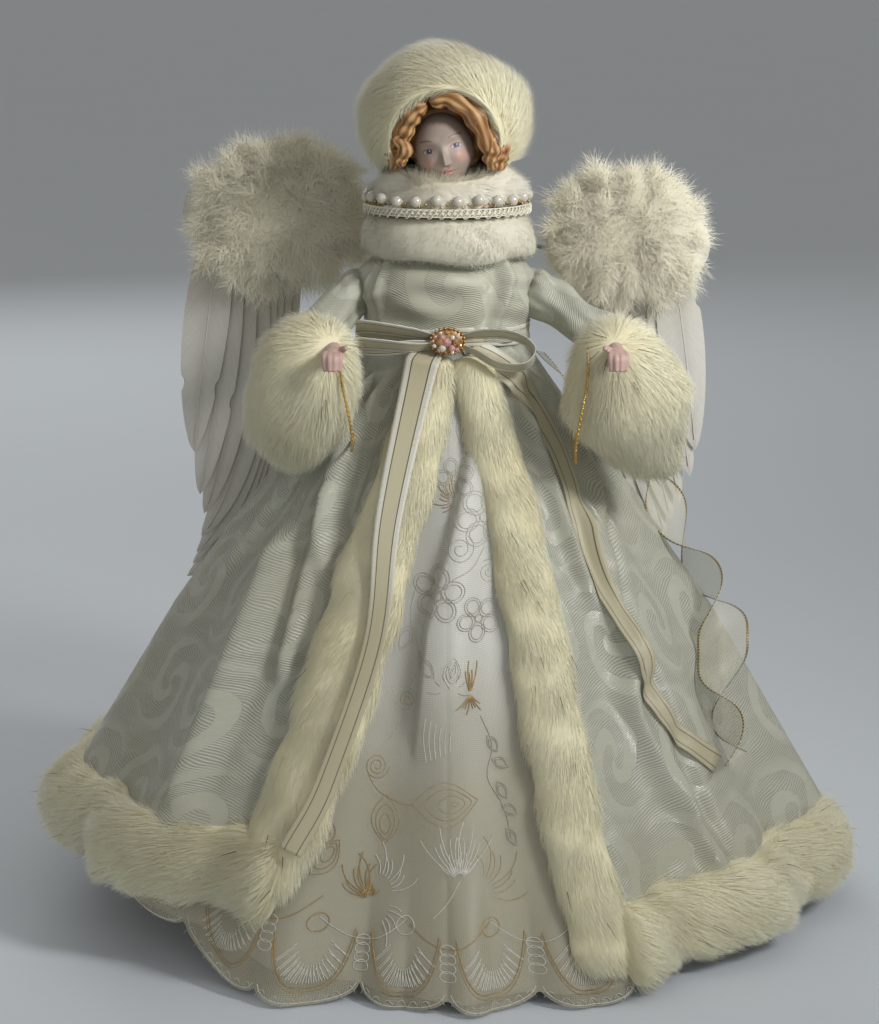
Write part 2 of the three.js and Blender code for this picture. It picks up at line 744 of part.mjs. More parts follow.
add("waist_ribbon", waistRibbon(), "ribbon");
add("bow_loop_left", bowLoop(SIDES.left), "ribbon");
add("bow_loop_right", bowLoop(SIDES.right), "ribbon");
add("bow_knot", bowKnot(), "ribbon");
add("brooch_setting", broochSetting(), "gold");
add("brooch_stones", broochStones(), "stone");
add("ribbon_tail_left", laidRibbon(LEFT_TAIL, TRIM_H / Math.cos(SKIRT_TILT) + RIBBON, EDGES.left), "ribbon");
add("ribbon_tail_right", laidRibbon(RIGHT_TAIL, 2 * RIBBON, EDGES.right), "ribbon");

// Collar stack

const COWL_Z = TORSO_TOP_Z - COWL_DROP;
const COWL_TOP_Z = COWL_Z + COWL_H;
const SHOULDER_SLOPE = (CHEST_RX - NECK_BASE_R) / (TORSO_TOP_Z - SHOULDER_Z);
const COWL_HOLE_R = NECK_BASE_R + SHOULDER_SLOPE * COWL_DROP + BODICE_LAYER + GAP;
const GIMP_TOP_Z = COWL_TOP_Z + GAP + GIMP_H;
const GIMP_R = COWL_R - 2;
const PEARL_RING_R = GIMP_R - GIMP_T / 2;
const PEARL_Z = GIMP_TOP_Z + GAP + PEARL_R;
const FUR_COLLAR_Z = GIMP_TOP_Z + GAP;
const FUR_COLLAR_TOP_Z = FUR_COLLAR_Z + FUR_COLLAR_H;
const HEAD_Z = TORSO_TOP_Z + HEAD_UP;
const PLATE_Z = TORSO_TOP_Z + GAP;
const HAIR_AT = vector(0, 0, HEAD_Z);
const FACE_AT = vector(0, -FACE_FORWARD, HEAD_Z - FACE_DROP);
const grown = (radii, amount) => radii.map((r) => r + amount);

function cowl() {
  return turned(
    [
      [COWL_HOLE_R, COWL_Z],
      [COWL_R - 2, COWL_Z],
      [COWL_R, COWL_Z + COWL_H * 0.3],
      [COWL_R, COWL_Z + COWL_H * 0.7],
      [COWL_R - 2, COWL_TOP_Z],
      [COWL_HOLE_R, COWL_TOP_Z],
      [COWL_HOLE_R, COWL_Z],
    ],
    COLLAR_DEPTH,
  );
}

function gimp() {
  const low = COWL_TOP_Z + GAP;
  const inner = GIMP_R - GIMP_T;
  return turned(
    [[inner, low], [GIMP_R, low], [GIMP_R, GIMP_TOP_Z], [inner, GIMP_TOP_Z], [inner, low]],
    COLLAR_DEPTH,
  );
}

function pearlString() {
  const place = (turn) =>
    vector(PEARL_RING_R * Math.sin(turn), -PEARL_RING_R * COLLAR_DEPTH * Math.cos(turn), PEARL_Z);
  const turns = (count) => Array.from({ length: count }, (_, i) => (2 * Math.PI * i) / count);
  const up = vector(0, 0, 1);
  const thread = loft(
    turns(PEARL_COUNT).map((turn) => {
      const out = vector(Math.sin(turn), -Math.cos(turn), 0);
      return ovalRing(place(turn), out, up, THREAD_R, THREAD_R, 3);
    }),
    true,
  );
  const pearls = turns(PEARL_COUNT).map((turn) => ellipsoid(place(turn), [PEARL_R, PEARL_R, PEARL_R], 6, 4));
  return joined([thread, ...pearls]);
}

function furCollar() {
  const chin = ellipsoid(FACE_AT, grown(FACE_RADII, GAP));
  const waistR = PEARL_RING_R - PEARL_R - GAP;
  const shelfZ = PEARL_Z + PEARL_R + GAP;
  return turned(
    [
      [FUR_COLLAR_HOLE_R, FUR_COLLAR_Z],
      [waistR, FUR_COLLAR_Z],
      [waistR, shelfZ],
      [FUR_COLLAR_R, shelfZ + 2 * GAP],
      [FUR_COLLAR_R, (shelfZ + FUR_COLLAR_TOP_Z) / 2],
      [waistR, FUR_COLLAR_TOP_Z],
      [FUR_COLLAR_HOLE_R, FUR_COLLAR_TOP_Z],
      [FUR_COLLAR_HOLE_R, FUR_COLLAR_Z],
    ],
    COLLAR_DEPTH,
  ).subtract(chin);
}

add("cowl_collar", cowl(), "plush");
add("gimp_braid", gimp(), "gold");
add("pearl_string", pearlString(), "pearl");
add("fur_collar", furCollar(), "fur");

// Head and hat


function porcelainHead() {
  const neck = turned([
    [0, PLATE_Z],
    [PLATE_R, PLATE_Z],
    [PLATE_R, PLATE_Z + PLATE_H],
    [NECK_R, PLATE_Z + PLATE_H + NECK_R],
    [NECK_R, HEAD_Z],
    [0, HEAD_Z],
  ]);
  const outside = joined([neck, ellipsoid(HAIR_AT, HAIR_RADII), ellipsoid(FACE_AT, FACE_RADII)]);
  const bore = rod(vector(0, 0, TORSO_TOP_Z), vector(0, 0, HEAD_Z), NECK_BORE_R);
  return outside.subtract(bore).subtract(ellipsoid(HAIR_AT, grown(HAIR_RADII, -HEAD_WALL), 12, 8));
}

function neckDowel() {
  const radius = NECK_BORE_R - 2 * GAP;
  return rod(vector(0, 0, TORSO_TOP_Z - DOWEL_DOWN), vector(0, 0, TORSO_TOP_Z + DOWEL_UP), radius, 16);
}

function furHat() {
  const hatZ = HEAD_Z + HAT_ABOVE_HEAD;
  const far = 2 * HAT_RADII[1];
  const outside = ellipsoid(vector(0, HAT_BACK, hatZ), HAT_RADII, 20, 12);
  const below = box(vector(-far, -far, 0), vector(far, far, FUR_COLLAR_TOP_Z + GAP));
  const arch = new THREE.Shape().absarc(0, FACE_AT.z, HAT_OPENING_R, 0, Math.PI);
  arch.lineTo(-HAT_OPENING_R, FUR_COLLAR_Z);
  arch.lineTo(HAT_OPENING_R, FUR_COLLAR_Z);
  return outside
    .subtract(below)
    .subtract(frontPlate(arch, -FACE_FORWARD, far))
    .subtract(ellipsoid(HAIR_AT, grown(HAIR_RADII, GAP)))
    .subtract(ellipsoid(FACE_AT, grown(FACE_RADII, GAP)))
    .subtract(rod(vector(0, 0, 0), HAIR_AT, HAIR_RADII[1] - HEAD_WALL, 24));
}

add("porcelain_head", porcelainHead(), "porcelain");
add("neck_dowel", neckDowel(), "wood");
add("fur_hat", furHat(), "fur");

// Arms: each turns about the straight end of its wire, which lies across the body at the shoulder

const SLEEVE_FROM_X = CHEST_RX + BODICE_LAYER + GAP;

function armPieces(name, side) {
  const cuffAt = vector(side * CUFF_OUT[name], CUFF_Y, SHOULDER_Z - CUFF_DROP[name]);
  const radii = CUFF_RADII[name];
  const handAt = vector(side * HAND_OUT[name], HAND_TIP_Y, SHOULDER_Z - HAND_DROP);
  const wrist = handAt.clone().add(vector(0, HAND_L, 0));
  const elbow = vector(cuffAt.x, CUFF_Y / 2, cuffAt.z + radii[2] * 0.62);
  const shoulder = vector(side * SLEEVE_FROM_X, 0, SHOULDER_Z);
  const inner = side * (CHEST_RX - ARM_HOLE_DEPTH + GAP);

  const wirePoints = [
    vector(inner, 0, SHOULDER_Z),
    vector((inner + shoulder.x) / 2, 0, SHOULDER_Z),
    shoulder,
    shoulder.clone().add(vector(side * SLEEVE_R * 0.6, 0, 0)),
    elbow,
    wrist.clone().add(vector(0, GAP, 0)),
  ];
  const wire = bentWire(wirePoints, ARM_WIRE_R);
  const wireRoom = bentWire(wirePoints, ARM_WIRE_R + GAP);

  const palm = ellipsoid(
    wrist.clone().add(vector(0, -HAND_L / 2, 0)),
    [PALM_R, HAND_L * 0.32, PALM_R * 0.75],
    8,
    6,
  );
  const stub = rod(wrist, wrist.clone().add(vector(0, -HAND_L / 2, 0)), PALM_R * 0.8, 8);
  const fingers = [-1.5, -0.5, 0.5, 1.5].map((place) => {
    const root = wrist.clone().add(vector(place * 2 * FINGER_R, -HAND_L * 0.55, 0));
    const tip = vector(handAt.x + place * 2 * FINGER_R, HAND_TIP_Y + Math.abs(place), handAt.z - FINGER_R);
    return rod(root, tip, FINGER_R, 5);
  });
  const thumbRoot = wrist.clone().add(vector(0, -HAND_L * 0.45, 0));
  const thumbTip = thumbRoot.clone().add(vector(-side * PALM_R * 1.3, -HAND_L * 0.2, PALM_R));
  const hand = joined([palm, stub, ...fingers, rod(thumbRoot, thumbTip, FINGER_R, 5)]);
  const handRoom = joined([
    rod(wrist.clone().add(vector(0, GAP, 0)), handAt, PALM_R + 2 * GAP, 12),
    ellipsoid(thumbTip, [2 * FINGER_R, 2 * FINGER_R, 2 * FINGER_R], 8, 6),
  ]);

  const cuffWhole = (grow) => ellipsoid(cuffAt, grown(radii, grow));
  const cuff = cuffWhole(0).subtract(wireRoom).subtract(handRoom);

  const sleeveRoute = new THREE.CatmullRomCurve3([
    shoulder,
    shoulder.clone().add(vector(side * SLEEVE_R, 0, 0)),
    elbow,
    cuffAt,
  ]);
  const widths = [SLEEVE_R, SLEEVE_PUFF_R, SLEEVE_PUFF_R, SLEEVE_PUFF_R, SLEEVE_END_R, SLEEVE_END_R];
  const rings = widths.map((radius, i) => {
    const share = (0.8 * i) / (widths.length - 1);
    const ahead = i ? sleeveRoute.getTangent(share) : vector(side, 0, 0);
    const across = vector().crossVectors(ahead, vector(0, 1, 0)).normalize();
    const up = vector().crossVectors(across, ahead).normalize();
    return ovalRing(sleeveRoute.getPoint(share), across, up, radius, radius, 14);
  });
  const sleeve = loft(rings).subtract(cuffWhole(GAP)).subtract(wireRoom);

  const inset = BRAID_INSET / radii[0];
  const ringShare = Math.sqrt(1 - inset ** 2);
  const braidAt = cuffAt.clone().add(vector(-side * BRAID_INSET, 0, 0));
  const braidY = radii[1] * ringShare + GAP + 2 * BRAID_R;
  const braidZ = radii[2] * ringShare + GAP + 2 * BRAID_R;
  const braidSteps = 26;
  const braidRings = Array.from({ length: braidSteps }, (_, i) => {
    const turn = (2 * Math.PI * i) / braidSteps;
    const out = vector(0, Math.cos(turn), Math.sin(turn));
    const place = braidAt.clone().add(vector(0, braidY * Math.cos(turn), braidZ * Math.sin(turn)));
    return ovalRing(place, out, vector(1, 0, 0), BRAID_R, BRAID_R, 4);
  });

  add(`arm_wire_${name}`, wire, "wire");
  add(`sleeve_${name}`, sleeve, "brocade");
  add(`fur_cuff_${name}`, cuff, "fur");
  add(`cuff_braid_${name}`, loft(braidRings, true), "gold");
  add(`porcelain_hand_${name}`, hand, "porcelain");
}

for (const [name, side] of Object.entries(SIDES)) armPieces(name, side);

// Wings: each swings about the upright end of its wire, which stands in a hole of the mount pad

const BODICE_BACK_Y = (CHEST_RX + BODICE_LAYER) * BODY_DEPTH;
const WING_AXIS_Y = BODICE_BACK_Y + WING_AXIS_BACK;
const WING_PLATE_Y = WING_AXIS_Y + PLATE_BACK; // front of the plate
const FEATHERS_FRONT_Y = WING_PLATE_Y - FEATHER_COUNT * (FEATHER_T + GAP) - GAP;
const PAD_TOP_Z = SHOULDER_Z + PAD_ABOVE;

function wingMountPad() {
  let pad = box(
    vector(-PAD_HALF_W, 0, SHOULDER_Z - PAD_BELOW),
    vector(PAD_HALF_W, WING_AXIS_Y + PAD_BACK, PAD_TOP_Z),
  );
  pad = pad.subtract(turned(closedProfile(bodyProfile(BODICE_LAYER + GAP)), BODY_DEPTH));
  pad = pad.subtract(turned([[0, COWL_Z - GAP], [COWL_R + GAP, COWL_Z - GAP], [COWL_R + GAP, COWL_TOP_Z], [0, COWL_TOP_Z]], COLLAR_DEPTH));
  for (const side of Object.values(SIDES)) {
    const foot = vector(side * WING_AXIS_X, WING_AXIS_Y, 0);
    pad = pad.subtract(rod(foot, foot.clone().setZ(2 * SHOULDER_Z), WING_WIRE_R + PLAY));
  }
  return pad;
}

function featherOutline(length) {
  const half = FEATHER_W / 2;
  const outline = new THREE.Shape();
  outline.moveTo(-1, 0);
  outline.bezierCurveTo(-half * 1.2, -length * 0.25, -half * 1.2, -length * 0.7, 0, -length);
  outline.bezierCurveTo(half * 1.0, -length * 0.8, half * 1.1, -length * 0.3, 1, 0);
  return outline;
}

function wingPieces(name, side) {
  const lift = WING_LIFT[name];
  const middle = vector(side * WING_MIDDLE_X, WING_PLATE_Y, SHOULDER_Z + WING_MIDDLE_UP + lift);

  const backY = WING_PLATE_Y + PLATE_T + GAP + WING_WIRE_R;
  const axisX = side * WING_AXIS_X;
  const wire = bentWire(
    [
      vector(axisX, WING_AXIS_Y, SHOULDER_Z - PAD_BELOW),
      vector(axisX, WING_AXIS_Y, SHOULDER_Z),
      vector(axisX, WING_AXIS_Y, PAD_TOP_Z),
      vector(axisX, WING_AXIS_Y, PAD_TOP_Z + 2 * WING_WIRE_R),
      vector(axisX + side * 8, backY, PAD_TOP_Z + 6 * WING_WIRE_R),
      vector(axisX + side * 24, backY, middle.z),
      middle.clone().setY(backY),
    ],
    WING_WIRE_R,
  );

  const plateShape = new THREE.Shape().absellipse(
    middle.x, middle.z, WING_PLATE_RX, WING_PLATE_RZ, 0, 2 * Math.PI,
  );
  const plate = frontPlate(plateShape, WING_PLATE_Y + PLATE_T, PLATE_T, 14);

  const marabou = ellipsoid(vector(middle.x, FEATHERS_FRONT_Y, middle.z), MARABOU_RADII)
    .subtract(box(vector(-500, FEATHERS_FRONT_Y, -500), vector(500, 500, 900)));

  add(`wing_wire_${name}`, wire, "wire");
  add(`wing_plate_${name}`, plate, "card");
  add(`marabou_${name}`, marabou, "feather");
  for (let i = 0; i < FEATHER_COUNT; i++) {
    const share = i / (FEATHER_COUNT - 1);
    const length = lerp(FEATHER_FIRST_L, FEATHER_LAST_L, share);
    const splay = radians(lerp(FEATHER_FIRST_SPLAY, FEATHER_LAST_SPLAY, share));
    const geometry = new THREE.ExtrudeGeometry(featherOutline(length), {
      depth: FEATHER_T,
      bevelEnabled: false,
      curveSegments: 8,
    });
    geometry.rotateZ(splay).rotateX(Math.PI / 2).scale(side, 1, 1);
    geometry.translate(
      side * lerp(FEATHER_FIRST_X, FEATHER_LAST_X, share),
      WING_PLATE_Y - GAP - (FEATHER_COUNT - 1 - i) * (FEATHER_T + GAP),
      middle.z + lerp(FEATHER_FIRST_UP, FEATHER_LAST_UP, share),
    );
    add(`feather_${name}_${i + 1}`, solidOf(geometry), "feather");
  }
}

add("wing_mount_pad", wingMountPad(), "card");
for (const [name, side] of Object.entries(SIDES)) wingPieces(name, side);

// Wired sheer ribbons, from the back of the waist down each side

function sideRibbon(name, side) {
  const grid = (lift) => {
    const rows = [];
    for (let i = 0; i <= SIDE_RIBBON_STEPS; i++) {
      const share = i / SIDE_RIBBON_STEPS;
      const angle = side * radians(lerp(SIDE_RIBBON_FROM[name], SIDE_RIBBON_TO[name], share));
      const z = lerp(WAIST_Z - SASH_W, SIDE_RIBBON_END_Z, share);
      const settle = Math.min(1, 4 * share);
      const offset = 2 * GAP + SIDE_RIBBON_OUT * settle;
      const { point, around, out } = skirtFrame(angle, z, offset);
      const twist = settle * SIDE_RIBBON_TWIST * Math.sin(2 * Math.PI * SIDE_RIBBON_WAVES * share);
      const half = SIDE_RIBBON_HALF_W * (0.3 + 0.7 * settle);
      const across = around.clone().multiplyScalar(Math.cos(twist)).addScaledVector(out, Math.sin(twist));
      const off = out.clone().multiplyScalar(Math.cos(twist)).addScaledVector(around, -Math.sin(twist));
      rows.push([-half, 0, half].map((x) => point.clone().addScaledVector(across, x).addScaledVector(off, lift)));
    }
    return rows;
  };
  return sheet(grid(RIBBON), grid(0)).subtract(block);
}

for (const [name, side] of Object.entries(SIDES)) {
  add(`side_ribbon_${name}`, sideRibbon(name, side), "ribbon");
}

export default topper;
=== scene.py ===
"""Dresses the frame of an angel tree topper in cloth, fur, feathers and porcelain.

Lengths inside the pieces are millimetres in the frame's own axes, +Z up with the front facing -Y, and are
turned into metres when a mesh is made. Left and right are as the viewer sees the front.
"""

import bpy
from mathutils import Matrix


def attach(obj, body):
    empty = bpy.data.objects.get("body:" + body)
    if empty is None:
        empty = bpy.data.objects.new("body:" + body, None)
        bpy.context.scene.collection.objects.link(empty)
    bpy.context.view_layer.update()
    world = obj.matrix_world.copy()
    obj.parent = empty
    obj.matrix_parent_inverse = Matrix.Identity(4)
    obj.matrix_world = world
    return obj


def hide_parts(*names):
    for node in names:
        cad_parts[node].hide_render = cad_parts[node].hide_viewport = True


bl_info = {
    "name": "Angel Tree Topper",
    "version": (1, 0, 0),
    "blender": (4, 5, 0),
    "location": "View3D > Sidebar > Topper",
    "description": "Dresses the frame of an angel tree topper",
    "category": "Add Mesh",
}

import bmesh
import bpy
import numpy as np
from bpy.props import FloatProperty, FloatVectorProperty, IntProperty, PointerProperty
from mathutils import Matrix, Vector

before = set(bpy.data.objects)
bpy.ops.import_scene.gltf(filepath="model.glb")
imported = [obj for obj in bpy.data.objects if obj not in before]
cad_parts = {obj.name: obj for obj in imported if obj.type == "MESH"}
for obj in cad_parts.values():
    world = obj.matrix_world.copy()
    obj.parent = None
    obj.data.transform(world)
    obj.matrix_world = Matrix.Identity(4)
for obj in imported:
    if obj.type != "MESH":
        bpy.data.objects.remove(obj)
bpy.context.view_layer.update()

MM = 0.001
TAU = 2 * np.pi
SIDES = {"left": -1, "right": 1}
# Hairs whose random number is past this share are guard hairs
GUARD_SHARE = 0.9985


# Sizes and colours that a user would change


def length(name, description, millimetres):
    return FloatProperty(
        name=name, description=description, default=millimetres * MM, unit="LENGTH", precision=4
    )


def colour(name, description, rgb):
    return FloatVectorProperty(
        name=name, description=description, default=rgb, subtype="COLOR", size=3, min=0.0, max=1.0
    )


class TopperFurSettings(bpy.types.PropertyGroup):
    """Lengths and amounts of the fur."""

    hat_pile: length("Hat pile", "Length of the hat's hairs", 11.0)
    cuff_pile: length("Cuff pile", "Length of the cuffs' hairs", 11.0)
    trim_pile: length("Front trim pile", "Length of the hairs down the front edges", 9.0)
    hem_pile: length("Hem pile", "Length of the hairs along the hem", 12.0)
    collar_pile: length("Collar pile", "Length of the collar's hairs", 11.0)
    density: FloatProperty(
        name="Density", description="Share of the full number of hairs", default=1.0, min=0.05, max=1.0,
        subtype="FACTOR",
    )


class TopperGownSettings(bpy.types.PropertyGroup):
    """Sizes of the gown's detail."""

    wrinkle: length("Wrinkle height", "How far the robe's folds stand out at the floor", 7.0)
    thread: length("Thread", "Thickness of the apron's embroidery thread", 0.20)
    ribbon_width: length("Ribbon width", "Width of the waist ribbon and its tails", 10.0)
    scallops: IntProperty(name="Scallops", description="Scallops along the apron's hem", default=6, min=1)


class TopperColourSettings(bpy.types.PropertyGroup):
    """Colours of the finishes."""

    fur_tip: colour("Fur tips", "Colour of the hairs' tips", (0.90, 0.88, 0.69))
    fur_root: colour("Fur roots", "Colour deep in the pile", (0.80, 0.73, 0.48))
    swansdown: colour("Swansdown", "Colour of the fluff round the neck", (0.95, 0.92, 0.82))
    brocade: colour("Brocade", "Colour of the robe", (0.40, 0.405, 0.335))
    satin: colour("Satin", "Colour of the underskirt", (0.61, 0.60, 0.53))
    organza: colour("Organza", "Colour of the sheer apron", (0.72, 0.73, 0.71))
    gold: colour("Gold", "Colour of braid, beads and gold thread", (0.62, 0.41, 0.12))
    skin: colour("Bisque", "Colour of the face and hands", (0.36, 0.29, 0.245))
    hair: colour("Hair", "Colour of the moulded hair", (0.36, 0.18, 0.06))
    feather: colour("Feather", "Colour of the long feathers", (0.70, 0.68, 0.63))
    marabou: colour("Marabou", "Colour of the fluff on the wings", (0.95, 0.92, 0.78))


# Small numeric helpers, on arrays


def unit(v):
    return v / np.maximum(np.linalg.norm(v, axis=-1, keepdims=True), 1e-9)


def lerp(a, b, share):
    return a + (b - a) * share


def smooth(value, low=0.0, high=1.0):
    share = np.clip((value - low) / (high - low), 0.0, 1.0)
    return share * share * (3.0 - 2.0 * share)


def bump_at(value, middle, half_width):
    """A rounded hump of height 1 about a middle."""
    return np.exp(-(((value - middle) / half_width) ** 2))


def points(*columns):
    return np.stack(np.broadcast_arrays(*columns), axis=-1).astype(float)


def spline(knots, share):
    """Points of a smooth curve through knots, for shares of it from 0 to 1."""
    knots = np.asarray(knots, float)
    padded = np.vstack([2 * knots[0] - knots[1], knots, 2 * knots[-1] - knots[-2]])
    place = np.clip(np.asarray(share, float), 0.0, 1.0) * (len(knots) - 1)
    span = np.minimum(place.astype(int), len(knots) - 2)
    t = (place - span)[..., None]
    a, b, c, d = (padded[span + i] for i in range(4))
    return 0.5 * (2 * b + (c - a) * t + (2 * a - 5 * b + 4 * c - d) * t**2 + (3 * b - a - 3 * c + d) * t**3)


def ripple(at, size, seed, waves=5):
    """A smooth random field of three values about 0 over points, size being its grain in millimetres."""
    rng = np.random.default_rng(seed)
    field = np.zeros(at.shape[:-1] + (3,))
    for _ in range(waves):
        way = unit(rng.normal(size=3)) * TAU / (size * rng.uniform(0.7, 1.6))
        field += np.sin(at @ way + rng.uniform(0, TAU))[..., None] * unit(rng.normal(size=3))
    return field / np.sqrt(waves)


def heading(knots, share, step=0.02):
    """The way that the curve through knots runs, at shares of it."""
    return unit(spline(knots, np.minimum(1, share + step)) - spline(knots, np.maximum(0, share - step)))


def about(at, across, up, turn, wide, high):
    """Points of ovals about other points, by turns from the way across to the way up."""
    return at + across * (wide * np.cos(turn))[:, None] + up * (high * np.sin(turn))[:, None]


def globe(u, v):
    """Points of a ball of radius 1, by shares round it and up it."""
    angle, north = TAU * u, np.pi * (v - 0.5)
    return points(np.cos(north) * np.sin(angle), -np.cos(north) * np.cos(angle), np.sin(north))


# Meshes


def fill_points(mesh, place):
    mesh.vertices.foreach_set("co", np.ascontiguousarray(place * MM, dtype=np.float32).ravel())


def read_points(mesh):
    flat = np.empty(3 * len(mesh.vertices), np.float32)
    mesh.vertices.foreach_get("co", flat)
    return flat.reshape(-1, 3).astype(float) / MM


def surface(columns, rows, place, away_from=None):
    """A grid whose shares (u, v) are placed by a function, with its seams and poles closed.

    The faces look away from a point, or outwards where none is given.
    """
    mesh = bpy.data.meshes.new("surface")
    bm = bmesh.new()
    bm.loops.layers.uv.new("UVMap")
    bmesh.ops.create_grid(bm, x_segments=columns, y_segments=rows, size=0.5, calc_uvs=True)
    bm.to_mesh(mesh)
    share = read_points(mesh)[:, :2] * MM + 0.5
    fill_points(mesh, place(share[:, 0], share[:, 1]))
    bm.clear()
    bm.from_mesh(mesh)
    bmesh.ops.remove_doubles(bm, verts=bm.verts[:], dist=2e-6)
    bmesh.ops.dissolve_degenerate(bm, edges=bm.edges[:], dist=1e-6)
    if away_from is None:
        bmesh.ops.recalc_face_normals(bm, faces=bm.faces[:])
    else:
        bm.normal_update()
        heart = Vector(away_from) * MM
        if sum(f.normal.dot(f.calc_center_median() - heart) * f.calc_area() for f in bm.faces) < 0:
            bmesh.ops.reverse_faces(bm, faces=bm.faces[:])
    bm.to_mesh(mesh)
    bm.free()
    mesh.shade_smooth()
    return mesh


def roll_mesh(columns, rows, centre, half_across, half_up, ends=0.04):
    """A closed roll along a centre line, whose ends round off over a share of its length.

    centre(u) gives points, across and up; the half widths are functions of u and of the turn.
    """

    def place(u, v):
        at, across, up = centre(u)
        turn = TAU * v
        edge = np.minimum(1.0, np.minimum(u, 1 - u) / ends)
        close = np.sqrt(np.clip(1 - (1 - edge) ** 2, 0, 1))
        return about(at, across, up, turn, half_across(u, turn) * close, half_up(u, turn) * close)

    return surface(columns, rows, place)


def thread_mesh(lines, radius):
    """Round threads along lines of points, in one mesh; each line says whether it is closed."""
    curve = bpy.data.curves.new("thread", "CURVE")
    curve.dimensions = "3D"
    curve.bevel_depth = radius * MM
    curve.bevel_resolution = 1
    curve.use_fill_caps = True
    for line, closed in lines:
        run = curve.splines.new("POLY")
        run.points.add(len(line) - 1)
        flat = np.concatenate([np.asarray(line, float) * MM, np.ones((len(line), 1))], axis=1)
        run.points.foreach_set("co", flat.astype(np.float32).ravel())
        run.use_cyclic_u = closed
    holder = bpy.data.objects.new("thread", curve)
    bpy.context.collection.objects.link(holder)
    mesh = bpy.data.meshes.new_from_object(holder.evaluated_get(bpy.context.evaluated_depsgraph_get()))
    bpy.data.objects.remove(holder)
    bpy.data.curves.remove(curve)
    mesh.shade_smooth()
    return mesh


def joined_mesh(build):
    """A mesh that a function fills with bmesh operators, in metres."""
    bm = bmesh.new()
    build(bm)
    bmesh.ops.recalc_face_normals(bm, faces=bm.faces[:])
    mesh = bpy.data.meshes.new("joined")
    bm.to_mesh(mesh)
    bm.free()
    mesh.shade_smooth()
    return mesh


def ball(bm, at, radius, squash=(1, 1, 1), detail=2, turn=Matrix()):
    spot = Matrix.Translation(Vector(at * MM)) @ turn @ Matrix.Diagonal((*squash, 1))
    bmesh.ops.create_icosphere(bm, subdivisions=detail, radius=radius * MM, matrix=spot)


def blended_mesh(mesh, voxel):
    """A mesh of overlapping rounds made into one skin and smoothed."""
    holder = bpy.data.objects.new("blend", mesh)
    bpy.context.collection.objects.link(holder)
    skin = holder.modifiers.new("Skin", "REMESH")
    skin.mode = "VOXEL"
    skin.voxel_size = voxel * MM
    ease = holder.modifiers.new("Ease", "SMOOTH")
    ease.iterations = 6
    whole = bpy.data.meshes.new_from_object(holder.evaluated_get(bpy.context.evaluated_depsgraph_get()))
    bpy.data.objects.remove(holder)
    whole.shade_smooth()
    return whole


def paint(mesh, name, colours):
    layer = mesh.attributes.new(name, "FLOAT_COLOR", "POINT")
    flat = np.concatenate([colours, np.ones((len(colours), 1))], axis=1)
    layer.data.foreach_set("color", flat.astype(np.float32).ravel())


def add_piece(name, mesh, material, stands_for=None, body="figure"):
    mesh.name = name
    piece = bpy.data.objects.new(name, mesh)
    bpy.context.collection.objects.link(piece)
    mesh.materials.clear()
    mesh.materials.append(material)
    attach(piece, body)
    if stands_for:
        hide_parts(stands_for)
    return piece


def add_cloth(
    name, mesh, material, stands_for, flat, share=1.0, wall=0.0, body="figure"
):
    """Adds cloth, with a wall where one is given; the rectangle it was cut from and the share left are not
    used.
    """
    piece = add_piece(name, mesh, material, stands_for, body)
    if wall:
        thickness = piece.modifiers.new("Thickness", "SOLIDIFY")
        thickness.thickness = wall * MM
        thickness.offset = -1.0
    width, long = flat[0] * MM, flat[1] * MM
    share * width * long


# Finishes


class Value:
    """A shader socket that takes part in sums."""

    def __init__(self, finish, socket):
        self.finish = finish
        self.socket = socket

    def sum(self, operation, *values):
        return self.finish.node("ShaderNodeMath", {"operation": operation}, dict(enumerate(values)))

    def __add__(self, other):
        return self.sum("ADD", self, other)

    def __radd__(self, other):
        return self.sum("ADD", other, self)

    def __sub__(self, other):
        return self.sum("SUBTRACT", self, other)

    def __rsub__(self, other):
        return self.sum("SUBTRACT", other, self)

    def __mul__(self, other):
        return self.sum("MULTIPLY", self, other)

    def __rmul__(self, other):
        return self.sum("MULTIPLY", other, self)

    def __truediv__(self, other):
        return self.sum("DIVIDE", self, other)

    def __lt__(self, other):
        return self.sum("LESS_THAN", self, other)

    def __gt__(self, other):
        return self.sum("GREATER_THAN", self, other)

    def __abs__(self):
        return self.sum("ABSOLUTE", self)

    def sine(self):
        return self.sum("SINE", self)

    def part(self):
        return self.sum("FRACT", self)

    def floor(self):
        return self.sum("FLOOR", self)


